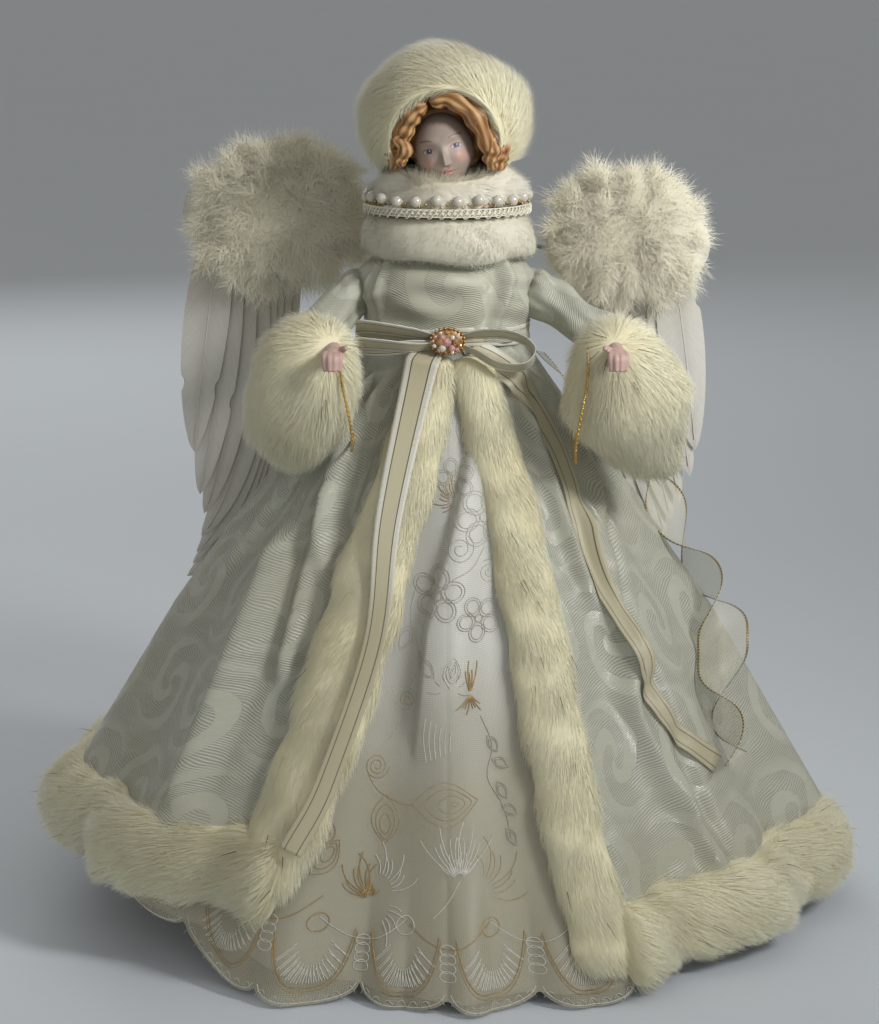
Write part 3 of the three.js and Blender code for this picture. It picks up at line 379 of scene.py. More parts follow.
class Finish:
    """One material and the nodes of its surface."""

    def __init__(self, name):
        self.material = bpy.data.materials.new(name)
        self.material.use_nodes = True
        self.tree = self.material.node_tree
        self.tree.nodes.clear()

    def node(self, kind, settings=None, inputs=None, output=0):
        """Adds a node, sets it up, feeds its sockets and gives one of its outputs."""
        node = self.tree.nodes.new(kind)
        for key, value in (settings or {}).items():
            if key == "stops":
                ramp = node.color_ramp
                while len(ramp.elements) < len(value):
                    ramp.elements.new(0.5)
                for element, (position, tint) in zip(ramp.elements, value):
                    element.position = position
                    element.color = (*tint, 1.0)
            else:
                setattr(node, key, value)
        for key, value in (inputs or {}).items():
            if isinstance(value, Value):
                self.tree.links.new(value.socket, node.inputs[key])
            elif node.inputs[key].type == "RGBA" and len(value) == 3:
                node.inputs[key].default_value = (*value, 1.0)
            else:
                node.inputs[key].default_value = value
        return Value(self, node.outputs[output])

    def uv(self, name="UVMap"):
        vector = self.node("ShaderNodeUVMap", {"uv_map": name})
        return [self.node("ShaderNodeSeparateXYZ", None, {0: vector}, i) for i in range(2)]

    def place(self):
        return self.node("ShaderNodeTexCoord", None, None, "Object")

    def noise(self, scale, detail, vector=None):
        fed = {"Vector": vector or self.place(), "Scale": scale, "Detail": detail}
        return self.node("ShaderNodeTexNoise", None, fed)

    def stretched(self, x, y):
        return self.node("ShaderNodeCombineXYZ", None, {0: x, 1: y})

    def ramp(self, value, stops):
        return self.node("ShaderNodeValToRGB", {"stops": stops}, {0: value})

    def mix(self, share, a, b):
        return self.node("ShaderNodeMix", {"data_type": "RGBA"}, {0: share, 6: a, 7: b}, 2)

    def between(self, value, low, high):
        settings = {"interpolation_type": "SMOOTHSTEP"}
        return self.node("ShaderNodeMapRange", settings, {0: value, 1: low, 2: high})

    def bump(self, height, strength, distance):
        fed = {"Height": height, "Strength": strength, "Distance": distance * MM}
        return self.node("ShaderNodeBump", None, fed)

    def done(self, **sockets):
        """Closes the material with a surface of the given sockets, words joined by underscores."""
        fed = {key.replace("_", " "): value for key, value in sockets.items()}
        shader = self.node("ShaderNodeBsdfPrincipled", None, fed)
        out = self.tree.nodes.new("ShaderNodeOutputMaterial")
        self.tree.links.new(shader.socket, out.inputs[0])
        return self.material

    def grained(self, grain, light, dark, rough, rougher, **sockets):
        """Closes the material with a tone and a roughness that follow one grain."""
        tone = self.mix(grain, light, dark)
        return self.done(Base_Color=tone, Roughness=rough + grain * rougher, **sockets)


def shade(rgb, factor):
    return tuple(min(1.0, c * factor) for c in rgb)


def lerp_colour(a, b, share):
    return tuple(lerp(x, y, share) for x, y in zip(a, b))


def tones():
    return bpy.context.scene.topper_colours


def laid_once(lay):
    """Turns a function that lays nodes into one that gives the material of a name, laid on first use."""

    def named(name, *settings, **others):
        return bpy.data.materials.get(name) or lay(Finish(name), *settings, **others)

    return named


@laid_once
def fur_finish(m, tip, root, yellow=0.5, flecks=GUARD_SHARE):
    """Soft hairs, warmer at their roots and in patches, with painted shade deep in the pile, and a few gilt
    and dark ones among them.
    """
    tint, along = m.uv("strand")
    # Darker towards the roots: partly the pile's own warmer colour, partly painted shade deep in the pile
    depth = m.ramp(along, [(0.0, shade(root, 0.92)), (0.5, lerp_colour(root, tip, 0.6)), (1.0, tip)])
    patch = m.between(m.noise(26.0, 2.0), 0.42, 0.72) * yellow
    warm = m.mix(patch, depth, shade(root, 0.86))
    each = m.mix(m.between(tint, 0.0, 0.9) * 0.12, warm, shade(tip, 1.05))
    gilt = m.mix((tint > flecks) * 0.6, each, (0.36, 0.23, 0.08))
    dark = m.mix((tint > 1.0 - (1.0 - flecks) * 0.35) * 0.85, gilt, (0.05, 0.03, 0.015))
    return m.done(Base_Color=dark, Roughness=0.6, Sheen_Weight=0.25, Specular_IOR_Level=0.2)


@laid_once
def faille_finish(m, tint, rib=1.2, figure=0.5, spread=(300.0, 260.0), dull=0.42):
    """Ribbed silk woven with swirling satin figures, its ribs watered. spread is the UV map's size in mm."""
    u, v = m.uv()
    x, y = u * spread[0], v * spread[1]
    # Figures: bands that curl about staggered middles, and leaves between them
    cell = 52.0
    row = (y / cell).floor()
    wander = m.noise(1.0, 2.0, m.stretched(x * 0.022, y * 0.022))
    sx = ((x / cell + row * 0.5 + wander * 0.5).part() - 0.5) * 2.0
    sy = ((y / cell).part() - 0.5) * 2.0
    reach = m.node("ShaderNodeMath", {"operation": "SQRT"}, {0: sx * sx + sy * sy})
    turn = m.node("ShaderNodeMath", {"operation": "ARCTAN2"}, {0: sy, 1: sx})
    curl = (turn * 2.0 + reach * 9.0 + wander * 5.0).sine()
    leaf = m.between(curl, 0.0, 0.25) * m.between(reach, 1.1, 0.75)
    edge = m.between(abs(curl - 0.05), 0.25, 0.02) * m.between(reach, 1.1, 0.8)
    # Ribs slant one way on the ground and the other in the figures
    drift = m.noise(1.0, 2.0, m.stretched(x * 0.03, y * 0.05)) * 7.0
    ground = ((y + x * 0.32 + drift) * (TAU / rib)).sine() * 0.5 + 0.5
    inlay = ((y - x * 0.7 + drift) * (TAU / (rib * 0.8))).sine() * 0.5 + 0.5
    ribs = ground * (1.0 - leaf) + inlay * leaf * 0.6
    slub = m.noise(1.0, 2.0, m.stretched(x * 0.09, y * 1.2))
    watered = m.between(m.noise(1.0, 3.0, m.stretched(x * 0.025, y * 0.12)), 0.45, 0.7)
    tone = m.mix(ribs * 0.7 + slub * 0.3, shade(tint, 0.60), shade(tint, 1.28))
    tone = m.mix(leaf * figure * 0.9, tone, shade(tint, 1.55))
    tone = m.mix(edge * figure * 0.5, tone, shade(tint, 0.62))
    tone = m.mix(watered * 0.25, tone, shade(tint, 1.35))
    # Darker, yellower patches at random over the cloth
    yellow_patches = m.mix(m.between(m.noise(12.0, 3.0), 0.45, 0.75) * 0.4, tone, (0.36, 0.33, 0.21))
    return m.done(
        Base_Color=yellow_patches,
        Roughness=dull - leaf * 0.20 - watered * 0.10 + slub * 0.06,
        Normal=m.bump(ribs * 0.8 + slub * 0.6, 0.6, 0.35),
        Sheen_Weight=0.12,
        Specular_IOR_Level=0.7,
    )


@laid_once
def satin_finish(m, tint, spread):
    u, v = m.uv()
    x, y = u * spread[0], v * spread[1]
    warp = m.noise(1.0, 2.0, m.stretched(x * 1.6, y * 0.06))
    weft = (y * (TAU / 0.5)).sine() * 0.5 + 0.5
    tone = m.mix(warp * 0.35, shade(tint, 1.08), shade(tint, 0.86))
    tone = m.mix(m.between(m.noise(11.0, 3.0), 0.5, 0.8) * 0.3, tone, (0.66, 0.58, 0.40))
    return m.done(
        Base_Color=tone,
        Roughness=0.34 + warp * 0.14,
        Normal=m.bump(weft * 0.4 + warp, 0.25, 0.15),
        Sheen_Weight=0.2,
        Specular_IOR_Level=0.55,
    )


@laid_once
def sheer_finish(m, tint, deep, cover, mesh, spread=(200.0, 260.0)):
    """Sheer cloth: threads both ways with light between, one colour at the waist and another at the hem."""
    u, v = m.uv()
    x, y = u * spread[0], v * spread[1]
    across = (x * (TAU / mesh)).sine() * 0.5 + 0.5
    along = (y * (TAU / mesh)).sine() * 0.5 + 0.5
    threads = m.node("ShaderNodeMath", {"operation": "MAXIMUM"}, {0: across, 1: along})
    mottle = m.noise(24.0, 3.0)
    lower = m.between(v + (mottle - 0.5) * 0.2, 0.42, 0.72)
    tone = m.mix(lower, tint, deep)
    tone = m.mix(mottle * 0.4, tone, (0.46, 0.42, 0.30))
    seen = m.between(threads, 0.1, 0.95) * 0.28 + (cover - 0.14) + mottle * 0.12
    weave = m.bump(threads, 0.2, 0.1)
    return m.done(Base_Color=tone, Roughness=0.40, Alpha=seen, Sheen_Weight=0.3, Normal=weave)


@laid_once
def ribbon_finish(m, edge_shine_end=2.0):
    """Tan ribbon, a dark line inside each white and gilt edge, the white partly a painted reflection; past a
    given share of the length the edges are tan too.
    """
    sheer = 0.8
    u, v = m.uv()
    edge = abs(u - 0.5) * 2.0
    grain = m.noise(1.0, 2.0, m.stretched(u * 50.0, v * 700.0))
    middle = m.mix(grain, (0.64, 0.59, 0.42), (0.50, 0.455, 0.30))
    # The edges' white is partly their own silver satin and partly a painted reflection, which stops lower
    # down the tail
    satin = m.mix(grain * 0.8, (0.70, 0.70, 0.64), (0.46, 0.44, 0.35))
    fleck = m.between(m.noise(1.0, 1.0, m.stretched(u * 26.0, v * 260.0)), 0.60, 0.68)
    satin = m.mix(fleck * 0.8, satin, (0.60, 0.46, 0.18))
    # Past this share the painted reflection on the edges stops and they turn tan and sheerer
    plain = m.between(v, edge_shine_end, edge_shine_end + 0.15)
    tone = m.mix(m.between(edge, 0.58, 0.62) * (1.0 - plain), middle, satin)
    line = m.between(abs(edge - 0.55), 0.06, 0.025)
    tone = m.mix(line * 0.9, tone, (0.07, 0.055, 0.03))
    dense = m.between(edge, 0.45, 0.55) * (1.0 - plain)
    seen = dense * (1.0 - sheer) + sheer - plain * 0.12 + line * plain * 0.3
    return m.done(
        Base_Color=tone,
        Roughness=0.36 + grain * 0.18,
        Alpha=seen,
        Sheen_Weight=0.2,
        Normal=m.bump(grain + fleck * 2.0, 0.3, 0.12),
    )


@laid_once
def wired_ribbon_finish(m):
    """Wide sheer ribbon with a rolled gilt wire in each edge."""
    u, v = m.uv()
    edge = abs(u - 0.5) * 2.0
    grain = m.noise(1.0, 2.0, m.stretched(u * 120.0, v * 500.0))
    tone = m.mix(grain, (0.70, 0.69, 0.58), (0.60, 0.57, 0.43))
    rolled = m.between(edge, 0.90, 0.94)
    bead = m.between((v * (235.0 / 1.6) * TAU).sine(), -0.6, 0.4)
    tone = m.mix(rolled, tone, m.mix(bead, (0.16, 0.11, 0.04), (0.50, 0.38, 0.15)))
    return m.done(
        Base_Color=tone,
        Roughness=0.35 + grain * 0.1,
        Metallic=rolled * 0.6,
        Alpha=rolled * 0.66 + grain * 0.12 + 0.24,
        Sheen_Weight=0.4,
        Normal=m.bump(grain + bead * rolled * 3.0, 0.3, 0.2),
    )


@laid_once
def gilt_finish(m, tint=None):
    worn = m.noise(420.0, 3.0)
    patch = m.noise(90.0, 2.0)
    tone = m.mix(worn, shade(tint or tones().gold, 1.25), shade(tint or tones().gold, 0.55))
    tone = m.mix(m.between(patch, 0.45, 0.7) * 0.35, tone, (0.80, 0.72, 0.48))
    return m.done(
        Base_Color=tone, Roughness=0.28 + worn * 0.25, Metallic=0.9, Normal=m.bump(worn, 0.3, 0.15)
    )


@laid_once
def thread_finish(m, tint, metal=0.0):
    twist = m.noise(900.0, 1.0)
    return m.grained(
        twist, shade(tint, 1.25), shade(tint, 0.62), 0.36, 0.2,
        Metallic=metal, Sheen_Weight=0.3, Normal=m.bump(twist, 0.4, 0.12),
    )


@laid_once
def pearl_finish(m):
    lustre = m.noise(160.0, 2.0)
    return m.grained(
        lustre, (0.66, 0.63, 0.55), (0.50, 0.46, 0.38), 0.10, 0.06,
        Coat_Weight=1.0, Coat_Roughness=0.03, Specular_IOR_Level=0.8,
    )


@laid_once
def stone_finish(m, tint):
    spark = m.noise(700.0, 1.0)
    return m.grained(
        spark, shade(tint, 1.3), shade(tint, 0.5), 0.05, 0.08,
        Coat_Weight=0.8, Coat_Roughness=0.03, Metallic=0.25,
    )


@laid_once
def bisque_finish(m, painted=None, tint=None):
    """Unglazed porcelain, painted by a colour layer where one is named."""
    pores = m.noise(1600.0, 2.0)
    cloud = m.noise(90.0, 3.0)
    if painted:
        base = m.node("ShaderNodeAttribute", {"attribute_name": painted}, None, "Color")
    else:
        plain = tint or tones().skin
        base = m.mix(cloud, shade(plain, 1.05), lerp_colour(plain, (0.62, 0.36, 0.30), 0.45))
    tone = m.mix(pores * 0.08 + cloud * 0.06, base, (0.40, 0.30, 0.27))
    return m.done(
        Base_Color=tone,
        Roughness=0.40 + pores * 0.12,
        Normal=m.bump(pores, 0.08, 0.05),
        Specular_IOR_Level=0.4,
    )


@laid_once
def hair_finish(m):
    """Painted hair: tan on the crowns of the locks, a painted highlight, and brown in the grooves between
    them, painted shade.
    """
    u, v = m.uv()
    locks = m.noise(1.0, 3.0, m.stretched(u * 3.5, v * 26.0))
    groove = (v * (TAU * 7.0) + u * 9.0).sine() * 0.5 + 0.5
    sweep = m.noise(150.0, 2.0)
    # The ramp paints shade dark brown in the grooves and a highlight tan on the crowns
    stops = [(0.22, (0.17, 0.065, 0.02)), (0.5, tones().hair), (0.74, (0.56, 0.35, 0.17))]
    tone = m.ramp(groove * 0.45 + locks * 0.55, stops)
    tone = m.mix(m.between(sweep, 0.45, 0.75) * 0.45, tone, (0.46, 0.26, 0.11))
    return m.done(
        Base_Color=tone, Roughness=0.42 + locks * 0.12, Normal=m.bump(locks + groove * 0.6, 0.35, 0.4),
        Specular_IOR_Level=0.4,
    )


@laid_once
def feather_finish(m):
    """Barbs that run out from the shaft, split here and there, with painted shade along the shaft and towards
    the root.
    """
    u, v = m.uv()
    side = abs(u - 0.5) * 2.0
    barbs = ((v * 150.0 - side * 26.0) * TAU / 2.0).sine() * 0.5 + 0.5
    coarse = m.noise(1.0, 2.0, m.stretched(side * 2.0, v * 60.0 - side * 9.0))
    tone = m.mix(barbs * 0.3 + coarse * 0.4, shade(tones().feather, 1.15), shade(tones().feather, 0.55))
    tone = m.mix(m.between(side, 0.5, 0.0) * 0.35, tone, shade(tones().feather, 0.6))
    # Darker and browner towards the root: painted shade where the feathers lie under the marabou
    tone = m.mix(m.between(v, 0.55, 0.1) * 0.5, tone, (0.46, 0.40, 0.27))
    return m.done(
        Base_Color=tone,
        Roughness=0.58 + coarse * 0.15,
        Normal=m.bump(barbs + coarse * 2.0, 0.35, 0.15),
        Sheen_Weight=0.3,
    )


@laid_once
def quill_finish(m):
    horn = m.noise(300.0, 2.0)
    relief = m.bump(horn, 0.1, 0.1)
    return m.grained(horn, (0.72, 0.70, 0.63), (0.62, 0.58, 0.50), 0.35, 0.15, Normal=relief)


@laid_once
def card_finish(m):
    fibre = m.noise(260.0, 4.0)
    stain = m.noise(18.0, 3.0)
    tone = m.mix(fibre, (0.46, 0.38, 0.26), (0.36, 0.28, 0.17))
    tone = m.mix(m.between(stain, 0.45, 0.7) * 0.4, tone, (0.30, 0.22, 0.12))
    return m.done(Base_Color=tone, Roughness=0.82 + fibre * 0.1, Normal=m.bump(fibre, 0.3, 0.2))


@laid_once
def foam_finish(m):
    cells = m.node("ShaderNodeTexVoronoi", None, {"Vector": m.place(), "Scale": 420.0})
    tone = m.mix(cells, (0.62, 0.58, 0.48), (0.82, 0.80, 0.72))
    return m.done(Base_Color=tone, Roughness=0.9, Normal=m.bump(cells, 0.4, 0.3))


@laid_once
def wood_finish(m):
    stretch = m.node("ShaderNodeMapping", None, {"Vector": m.place(), "Scale": (240.0, 240.0, 18.0)})
    grain = m.noise(1.0, 4.0, stretch)
    relief = m.bump(grain, 0.3, 0.2)
    return m.grained(grain, (0.56, 0.36, 0.17), (0.38, 0.21, 0.08), 0.6, 0.15, Normal=relief)


@laid_once
def wire_finish(m):
    drawn = m.noise(600.0, 2.0)
    relief = m.bump(drawn, 0.15, 0.1)
    return m.grained(drawn, (0.46, 0.47, 0.48), (0.22, 0.22, 0.23), 0.3, 0.2, Metallic=0.95, Normal=relief)


def ivory_fur():
    return fur_finish("Ivory fur", tones().fur_tip, tones().fur_root)


# Fur

# Shares of a hair's length at which its blade has points, and the blade's faces
STRAND_LEVELS = np.array([0.0, 0.55, 1.0])
BLADE = np.array([(0, 1, 3), (0, 3, 2), (2, 3, 4)])


def scatter(mesh, count, rng):
    """Random places on a mesh, with the way out of it at each."""
    mesh.calc_loop_triangles()
    corner = np.empty(3 * len(mesh.loop_triangles), np.int32)
    mesh.loop_triangles.foreach_get("vertices", corner)
    corner = corner.reshape(-1, 3)
    at = read_points(mesh)
    out = np.empty(3 * len(mesh.vertices), np.float32)
    mesh.vertices.foreach_get("normal", out)
    out = out.reshape(-1, 3)
    a, b, c = (at[corner[:, i]] for i in range(3))
    area = np.linalg.norm(np.cross(b - a, c - a), axis=1)
    pick = rng.choice(len(corner), count, p=area / area.sum())
    r, s = np.sqrt(rng.random(count)), rng.random(count)
    share = np.stack([1 - r, r * (1 - s), r * s], axis=1)[..., None]
    return (at[corner[pick]] * share).sum(axis=1), unit((out[corner[pick]] * share).sum(axis=1))


def strands_mesh(root, out, start, finish, long, wide, tint):
    """Hairs as narrow blades that leave their roots one way and end another."""
    count, t = len(root), STRAND_LEVELS
    place = start[:, None] * (t - t**2 / 2)[:, None] + finish[:, None] * (t**2 / 2)[:, None]
    spine = root[:, None] + place * long[:, None, None]
    side = unit(np.cross(start + finish, out))
    half = (wide * 0.5)[:, None, None] * (1.0 - t[:-1])[None, :, None] ** 0.4 * side[:, None]
    pairs = np.stack([spine[:, :-1] - half, spine[:, :-1] + half], axis=2).reshape(count, -1, 3)
    at = np.concatenate([pairs, spine[:, -1:]], axis=1)
    each = at.shape[1]
    corner = (np.arange(count)[:, None, None] * each + BLADE[None]).reshape(-1, 3)

    mesh = bpy.data.meshes.new("strands")
    mesh.vertices.add(count * each)
    fill_points(mesh, at.reshape(-1, 3))
    mesh.loops.add(corner.size)
    mesh.loops.foreach_set("vertex_index", corner.astype(np.int32).ravel())
    mesh.polygons.add(len(corner))
    mesh.polygons.foreach_set("loop_start", np.arange(len(corner), dtype=np.int32) * 3)
    mesh.update(calc_edges=True)
    mesh.shade_smooth()
    along = np.concatenate([np.repeat(t[:-1], 2), t[-1:]])
    share = np.stack([np.repeat(tint, each), np.tile(along, count)], axis=1)
    flat = share[corner.ravel()].astype(np.float32).ravel()
    for layer in ("strand", "OFBake"):
        mesh.uv_layers.new(name=layer).data.foreach_set("uv", flat)
    lean = along[None, :, None] * 0.35
    look = unit(out[:, None] * (1 - lean) + unit(start + finish)[:, None] * lean)
    mesh.normals_split_custom_set_from_vertices(look.reshape(-1, 3).tolist())
    return mesh


def flat_strand_layer(mesh, tint=0.35, along=0.22):
    """Gives a pelt the strand map of the pile's lower part."""
    layer = mesh.uv_layers.new(name="strand")
    count = len(mesh.loops)
    layer.data.foreach_set("uv", np.tile(np.array([tint, along], np.float32), count))


def fur_piece(
    name, pelt, node, strands, pile, comb, keep, *, seed, lift, clump, loose, wide, droop=0.0, cut=None,
    material=None, body="figure",
):
    """A pelt with hairs.

    comb(at) gives the way the pile is brushed, keep(at, out) says where it grows, cut(at) shortens it.
    """
    rng = np.random.default_rng(seed)
    strands = int(strands * bpy.context.scene.topper_fur.density)
    root, out = scatter(pelt, 3 * strands, rng)
    kept = keep(root, out)
    root, out = root[kept][:strands], out[kept][:strands]
    count = len(root)
    flow = comb(root)
    flow = unit(flow - out * (flow * out).sum(axis=1, keepdims=True))
    tuft = ripple(root, 11.0, seed + 1) * clump * 0.6 + ripple(root, 30.0, seed + 2) * clump
    start = unit(out * lift + flow + tuft * 0.5 + rng.normal(scale=loose, size=(count, 3)))
    finish = unit(out * lift * 0.45 + flow + tuft + rng.normal(scale=loose, size=(count, 3)) + [0, 0, -droop])
    long = pile / MM * rng.uniform(0.6, 1.08, count) * (1.0 + 0.10 * ripple(root, 18.0, seed + 3)[:, 0])
    if cut is not None:
        long = long * cut(root)
    broad = wide * rng.uniform(0.6, 1.2, count)
    tint = rng.random(count)
    # Guard hairs lie on top of the pile, a little coarser than the rest
    guard = tint > GUARD_SHARE
    sunk = root + out * np.where(guard, 0.22 * pile / MM, -0.6)[:, None]
    mesh = strands_mesh(sunk, out, start, finish, long, np.where(guard, 1.7, 1.0) * broad, tint)
    material = material or ivory_fur()
    flat_strand_layer(pelt)
    skin = add_piece(name, pelt, material, node, body)
    add_piece(f"{name}_pile", mesh, material, body=body)


# Skirt

WAIST_Z, KNEE_Z = 258.0, 139.0
TRIM_TOP_Z = 245.0
TRIM_PARTING_X = 2.0
EDGE_X = {"left": (-7, -22, -38, -74), "right": (11, 38, 42, 66)}
HEM_Z = {"left": 42.0, "right": 17.0}
LAYER = 1.8
SEAM = np.radians(120)
SKIRT_HEART = (0, 0, 60)


def skirt_point(angle, z, out=0.0):
    """The skirt at angles from the front and heights, out millimetres off the robe's outside."""
    s, c = np.sin(angle), np.cos(angle)

    def oval(rx, ry):
        return 1.0 / np.hypot(s / rx, c / ry)

    waist, knee, floor = oval(34, 28), oval(112, 84), oval(184, 146)
    above = lerp(waist, knee, (WAIST_Z - z) / (WAIST_Z - KNEE_Z))
    below = lerp(knee, floor, (KNEE_Z - z) / KNEE_Z)
    folds = 7 * (0.65 * np.cos(13 * angle) + 0.35 * np.sin(5 * angle))
    flare = 19 * np.maximum(0, -s) ** 2 + 5 * np.maximum(0, c) ** 2 - 2 * np.maximum(0, -c) ** 2
    radius = np.where(z > KNEE_Z, above, below) + (folds + flare) * (WAIST_Z - z) / WAIST_Z + out
    return points(radius * s, -radius * c, z)


def skirt_frame(angle, z, out=0.0):
    """Points of the skirt with the ways around it, down it and out of it."""
    at = skirt_point(angle, z, out)
    around = unit(skirt_point(angle + 0.02, z, out) - skirt_point(angle - 0.02, z, out))
    down = unit(skirt_point(angle, z - 1.0, out) - at)
    return at, around, down, unit(np.cross(down, around))


def angle_at(x, z):
    """The angle at which the front of the skirt shows at x."""
    x, z = np.broadcast_arrays(np.asarray(x, float), np.asarray(z, float))
    low, high = np.full(x.shape, -np.pi / 2), np.full(x.shape, np.pi / 2)
    for _ in range(28):
        middle = (low + high) / 2
        under = skirt_point(middle, z)[..., 0] < x
        low, high = np.where(under, middle, low), np.where(under, high, middle)
    return low


def robe_hem(angle):
    s = np.sin(angle)
    left, right = 42 + 6 * s**2, 17 + 8 * s**2
    return lerp(left, right, smooth(s, -0.45, 0.45))


def underskirt_hem(angle):
    s = np.sin(angle)
    return 5 + np.where(s < 0, 40, 8) * s**2


def apron_hem(angle):
    degrees = np.degrees(angle)
    share = degrees / 15.0
    across = 2 * (share - np.floor(share + 1e-6)) - 1
    rise = np.maximum(0, (-degrees - 30) / 30)
    return 1 + 7 * (1 - np.sqrt(1 - np.minimum(1, across**2))) + 42 * rise**1.2


def edge_x(name, z):
    """x of a front edge of the robe in the front view."""
    t = np.clip((TRIM_TOP_Z - z) / (TRIM_TOP_Z - HEM_Z[name]), 0, 1)
    a, b, c, d = EDGE_X[name]
    curve = a * (1 - t) ** 3 + 3 * b * t * (1 - t) ** 2 + 3 * c * t**2 * (1 - t) + d * t**3
    return lerp(curve, TRIM_PARTING_X, smooth(z, TRIM_TOP_Z, WAIST_Z + 10))


def cloth_folds(angle, z, seed, height, lines=()):
    """Soft ridges that run down the cloth and grow towards the floor, with creases near the waist.

    Lines are folds of their own: knots in the front view, with a half width and a height.
    """
    rng = np.random.default_rng(seed)
    down = np.maximum(0, WAIST_Z - z) / WAIST_Z
    ridge = np.zeros_like(z)
    for waves in (7, 11, 17, 23):
        phase = rng.uniform(0, TAU)
        sway = 0.35 * np.sin(z / rng.uniform(45, 80) + rng.uniform(0, TAU))
        ridge += (0.5 + 0.5 * np.cos(waves * angle + phase + sway)) ** 3 * rng.uniform(0.6, 1.0) * 9.0 / waves
    pulls = np.zeros_like(z)
    for _ in range(9):
        slant = rng.uniform(-0.9, 0.9)
        line = angle + slant * (WAIST_Z - z) / 120 + rng.uniform(-2.4, 2.4)
        crease = bump_at(np.sin(line * 3.0), 0.0, 0.12)
        pulls += crease * bump_at(z, rng.uniform(165, 230), rng.uniform(16, 34))
    total = height * ridge * down**1.15 * 0.9 + 1.5 * pulls
    for knots, half, rise in lines:
        knots = np.array(sorted(knots, key=lambda knot: knot[1]), float)
        place = angle_at(np.interp(z, knots[:, 1], knots[:, 0]), z)
        gap = (angle - place) * np.linalg.norm(skirt_point(angle, z)[..., :2], axis=-1)
        low, high = knots[0, 1], knots[-1, 1]
        within = smooth(z, low - 4, low + 12) * smooth(-z, -high - 4, -high + 8)
        total = total + rise * within * (bump_at(gap, 0.0, half) - 0.5 * bump_at(gap, 1.9 * half, 0.8 * half))
    return np.maximum(-0.9, total)


# Folds of the front panels: knots in the front view, with a half width and a height
ROBE_FOLDS = {
    "left": [
        ([(-24, 250), (-40, 215), (-58, 165), (-70, 120)], 3.6, 5.4),
        ([(-30, 246), (-52, 224), (-74, 190)], 3.2, 4.6),
        ([(-36, 236), (-48, 205), (-50, 170), (-60, 130)], 2.8, 4.0),
        ([(-70, 180), (-92, 120), (-112, 70)], 5.0, 5.0),
    ],
    "right": [
        ([(22, 252), (36, 222), (48, 186), (60, 150)], 2.8, 5.0),
        ([(30, 250), (50, 226), (62, 200), (70, 160), (76, 110)], 3.6, 6.0),
        ([(58, 190), (66, 150), (86, 110), (104, 60)], 4.0, 5.6),
        ([(70, 120), (96, 70), (120, 36)], 5.0, 5.6),
    ],
}


def robe_out(name, angle, z):
    """How far a front panel of the robe stands out of the plain skirt."""
    height = bpy.context.scene.topper_gown.wrinkle / MM
    return cloth_folds(angle, z, 11 + SIDES[name], height, ROBE_FOLDS[name])


# Left edge of the pleat down the front, as knots in the front view
PLEAT = np.array([(-14.6, 100), (-12, 120), (-9.2, 147), (-2.9, 170), (3.3, 193), (9.6, 222)])


def front_drape(angle, z):
    """How far the underskirt and the apron stand out, in the front pleat and in flutes near the hem."""
    x = skirt_point(angle, z)[..., 0]
    past = x - np.interp(z, PLEAT[:, 1], PLEAT[:, 0])
    raised = smooth(past, -1.5, 1.5) * bump_at(np.maximum(past, 0), 0.0, 24.0)
    raised *= smooth(edge_x("right", z) + 2 - x, 0, 8) * smooth(z, 88, 125) * smooth(-z, -240, -205)
    flutes = np.maximum(0, np.sin(21 * angle + 1.1 * np.sin(4 * angle))) * smooth(-z, -64, -6)
    front = smooth(np.cos(angle), 0.80, 0.95)
    return (7.0 * raised + 4.5 * flutes) * front


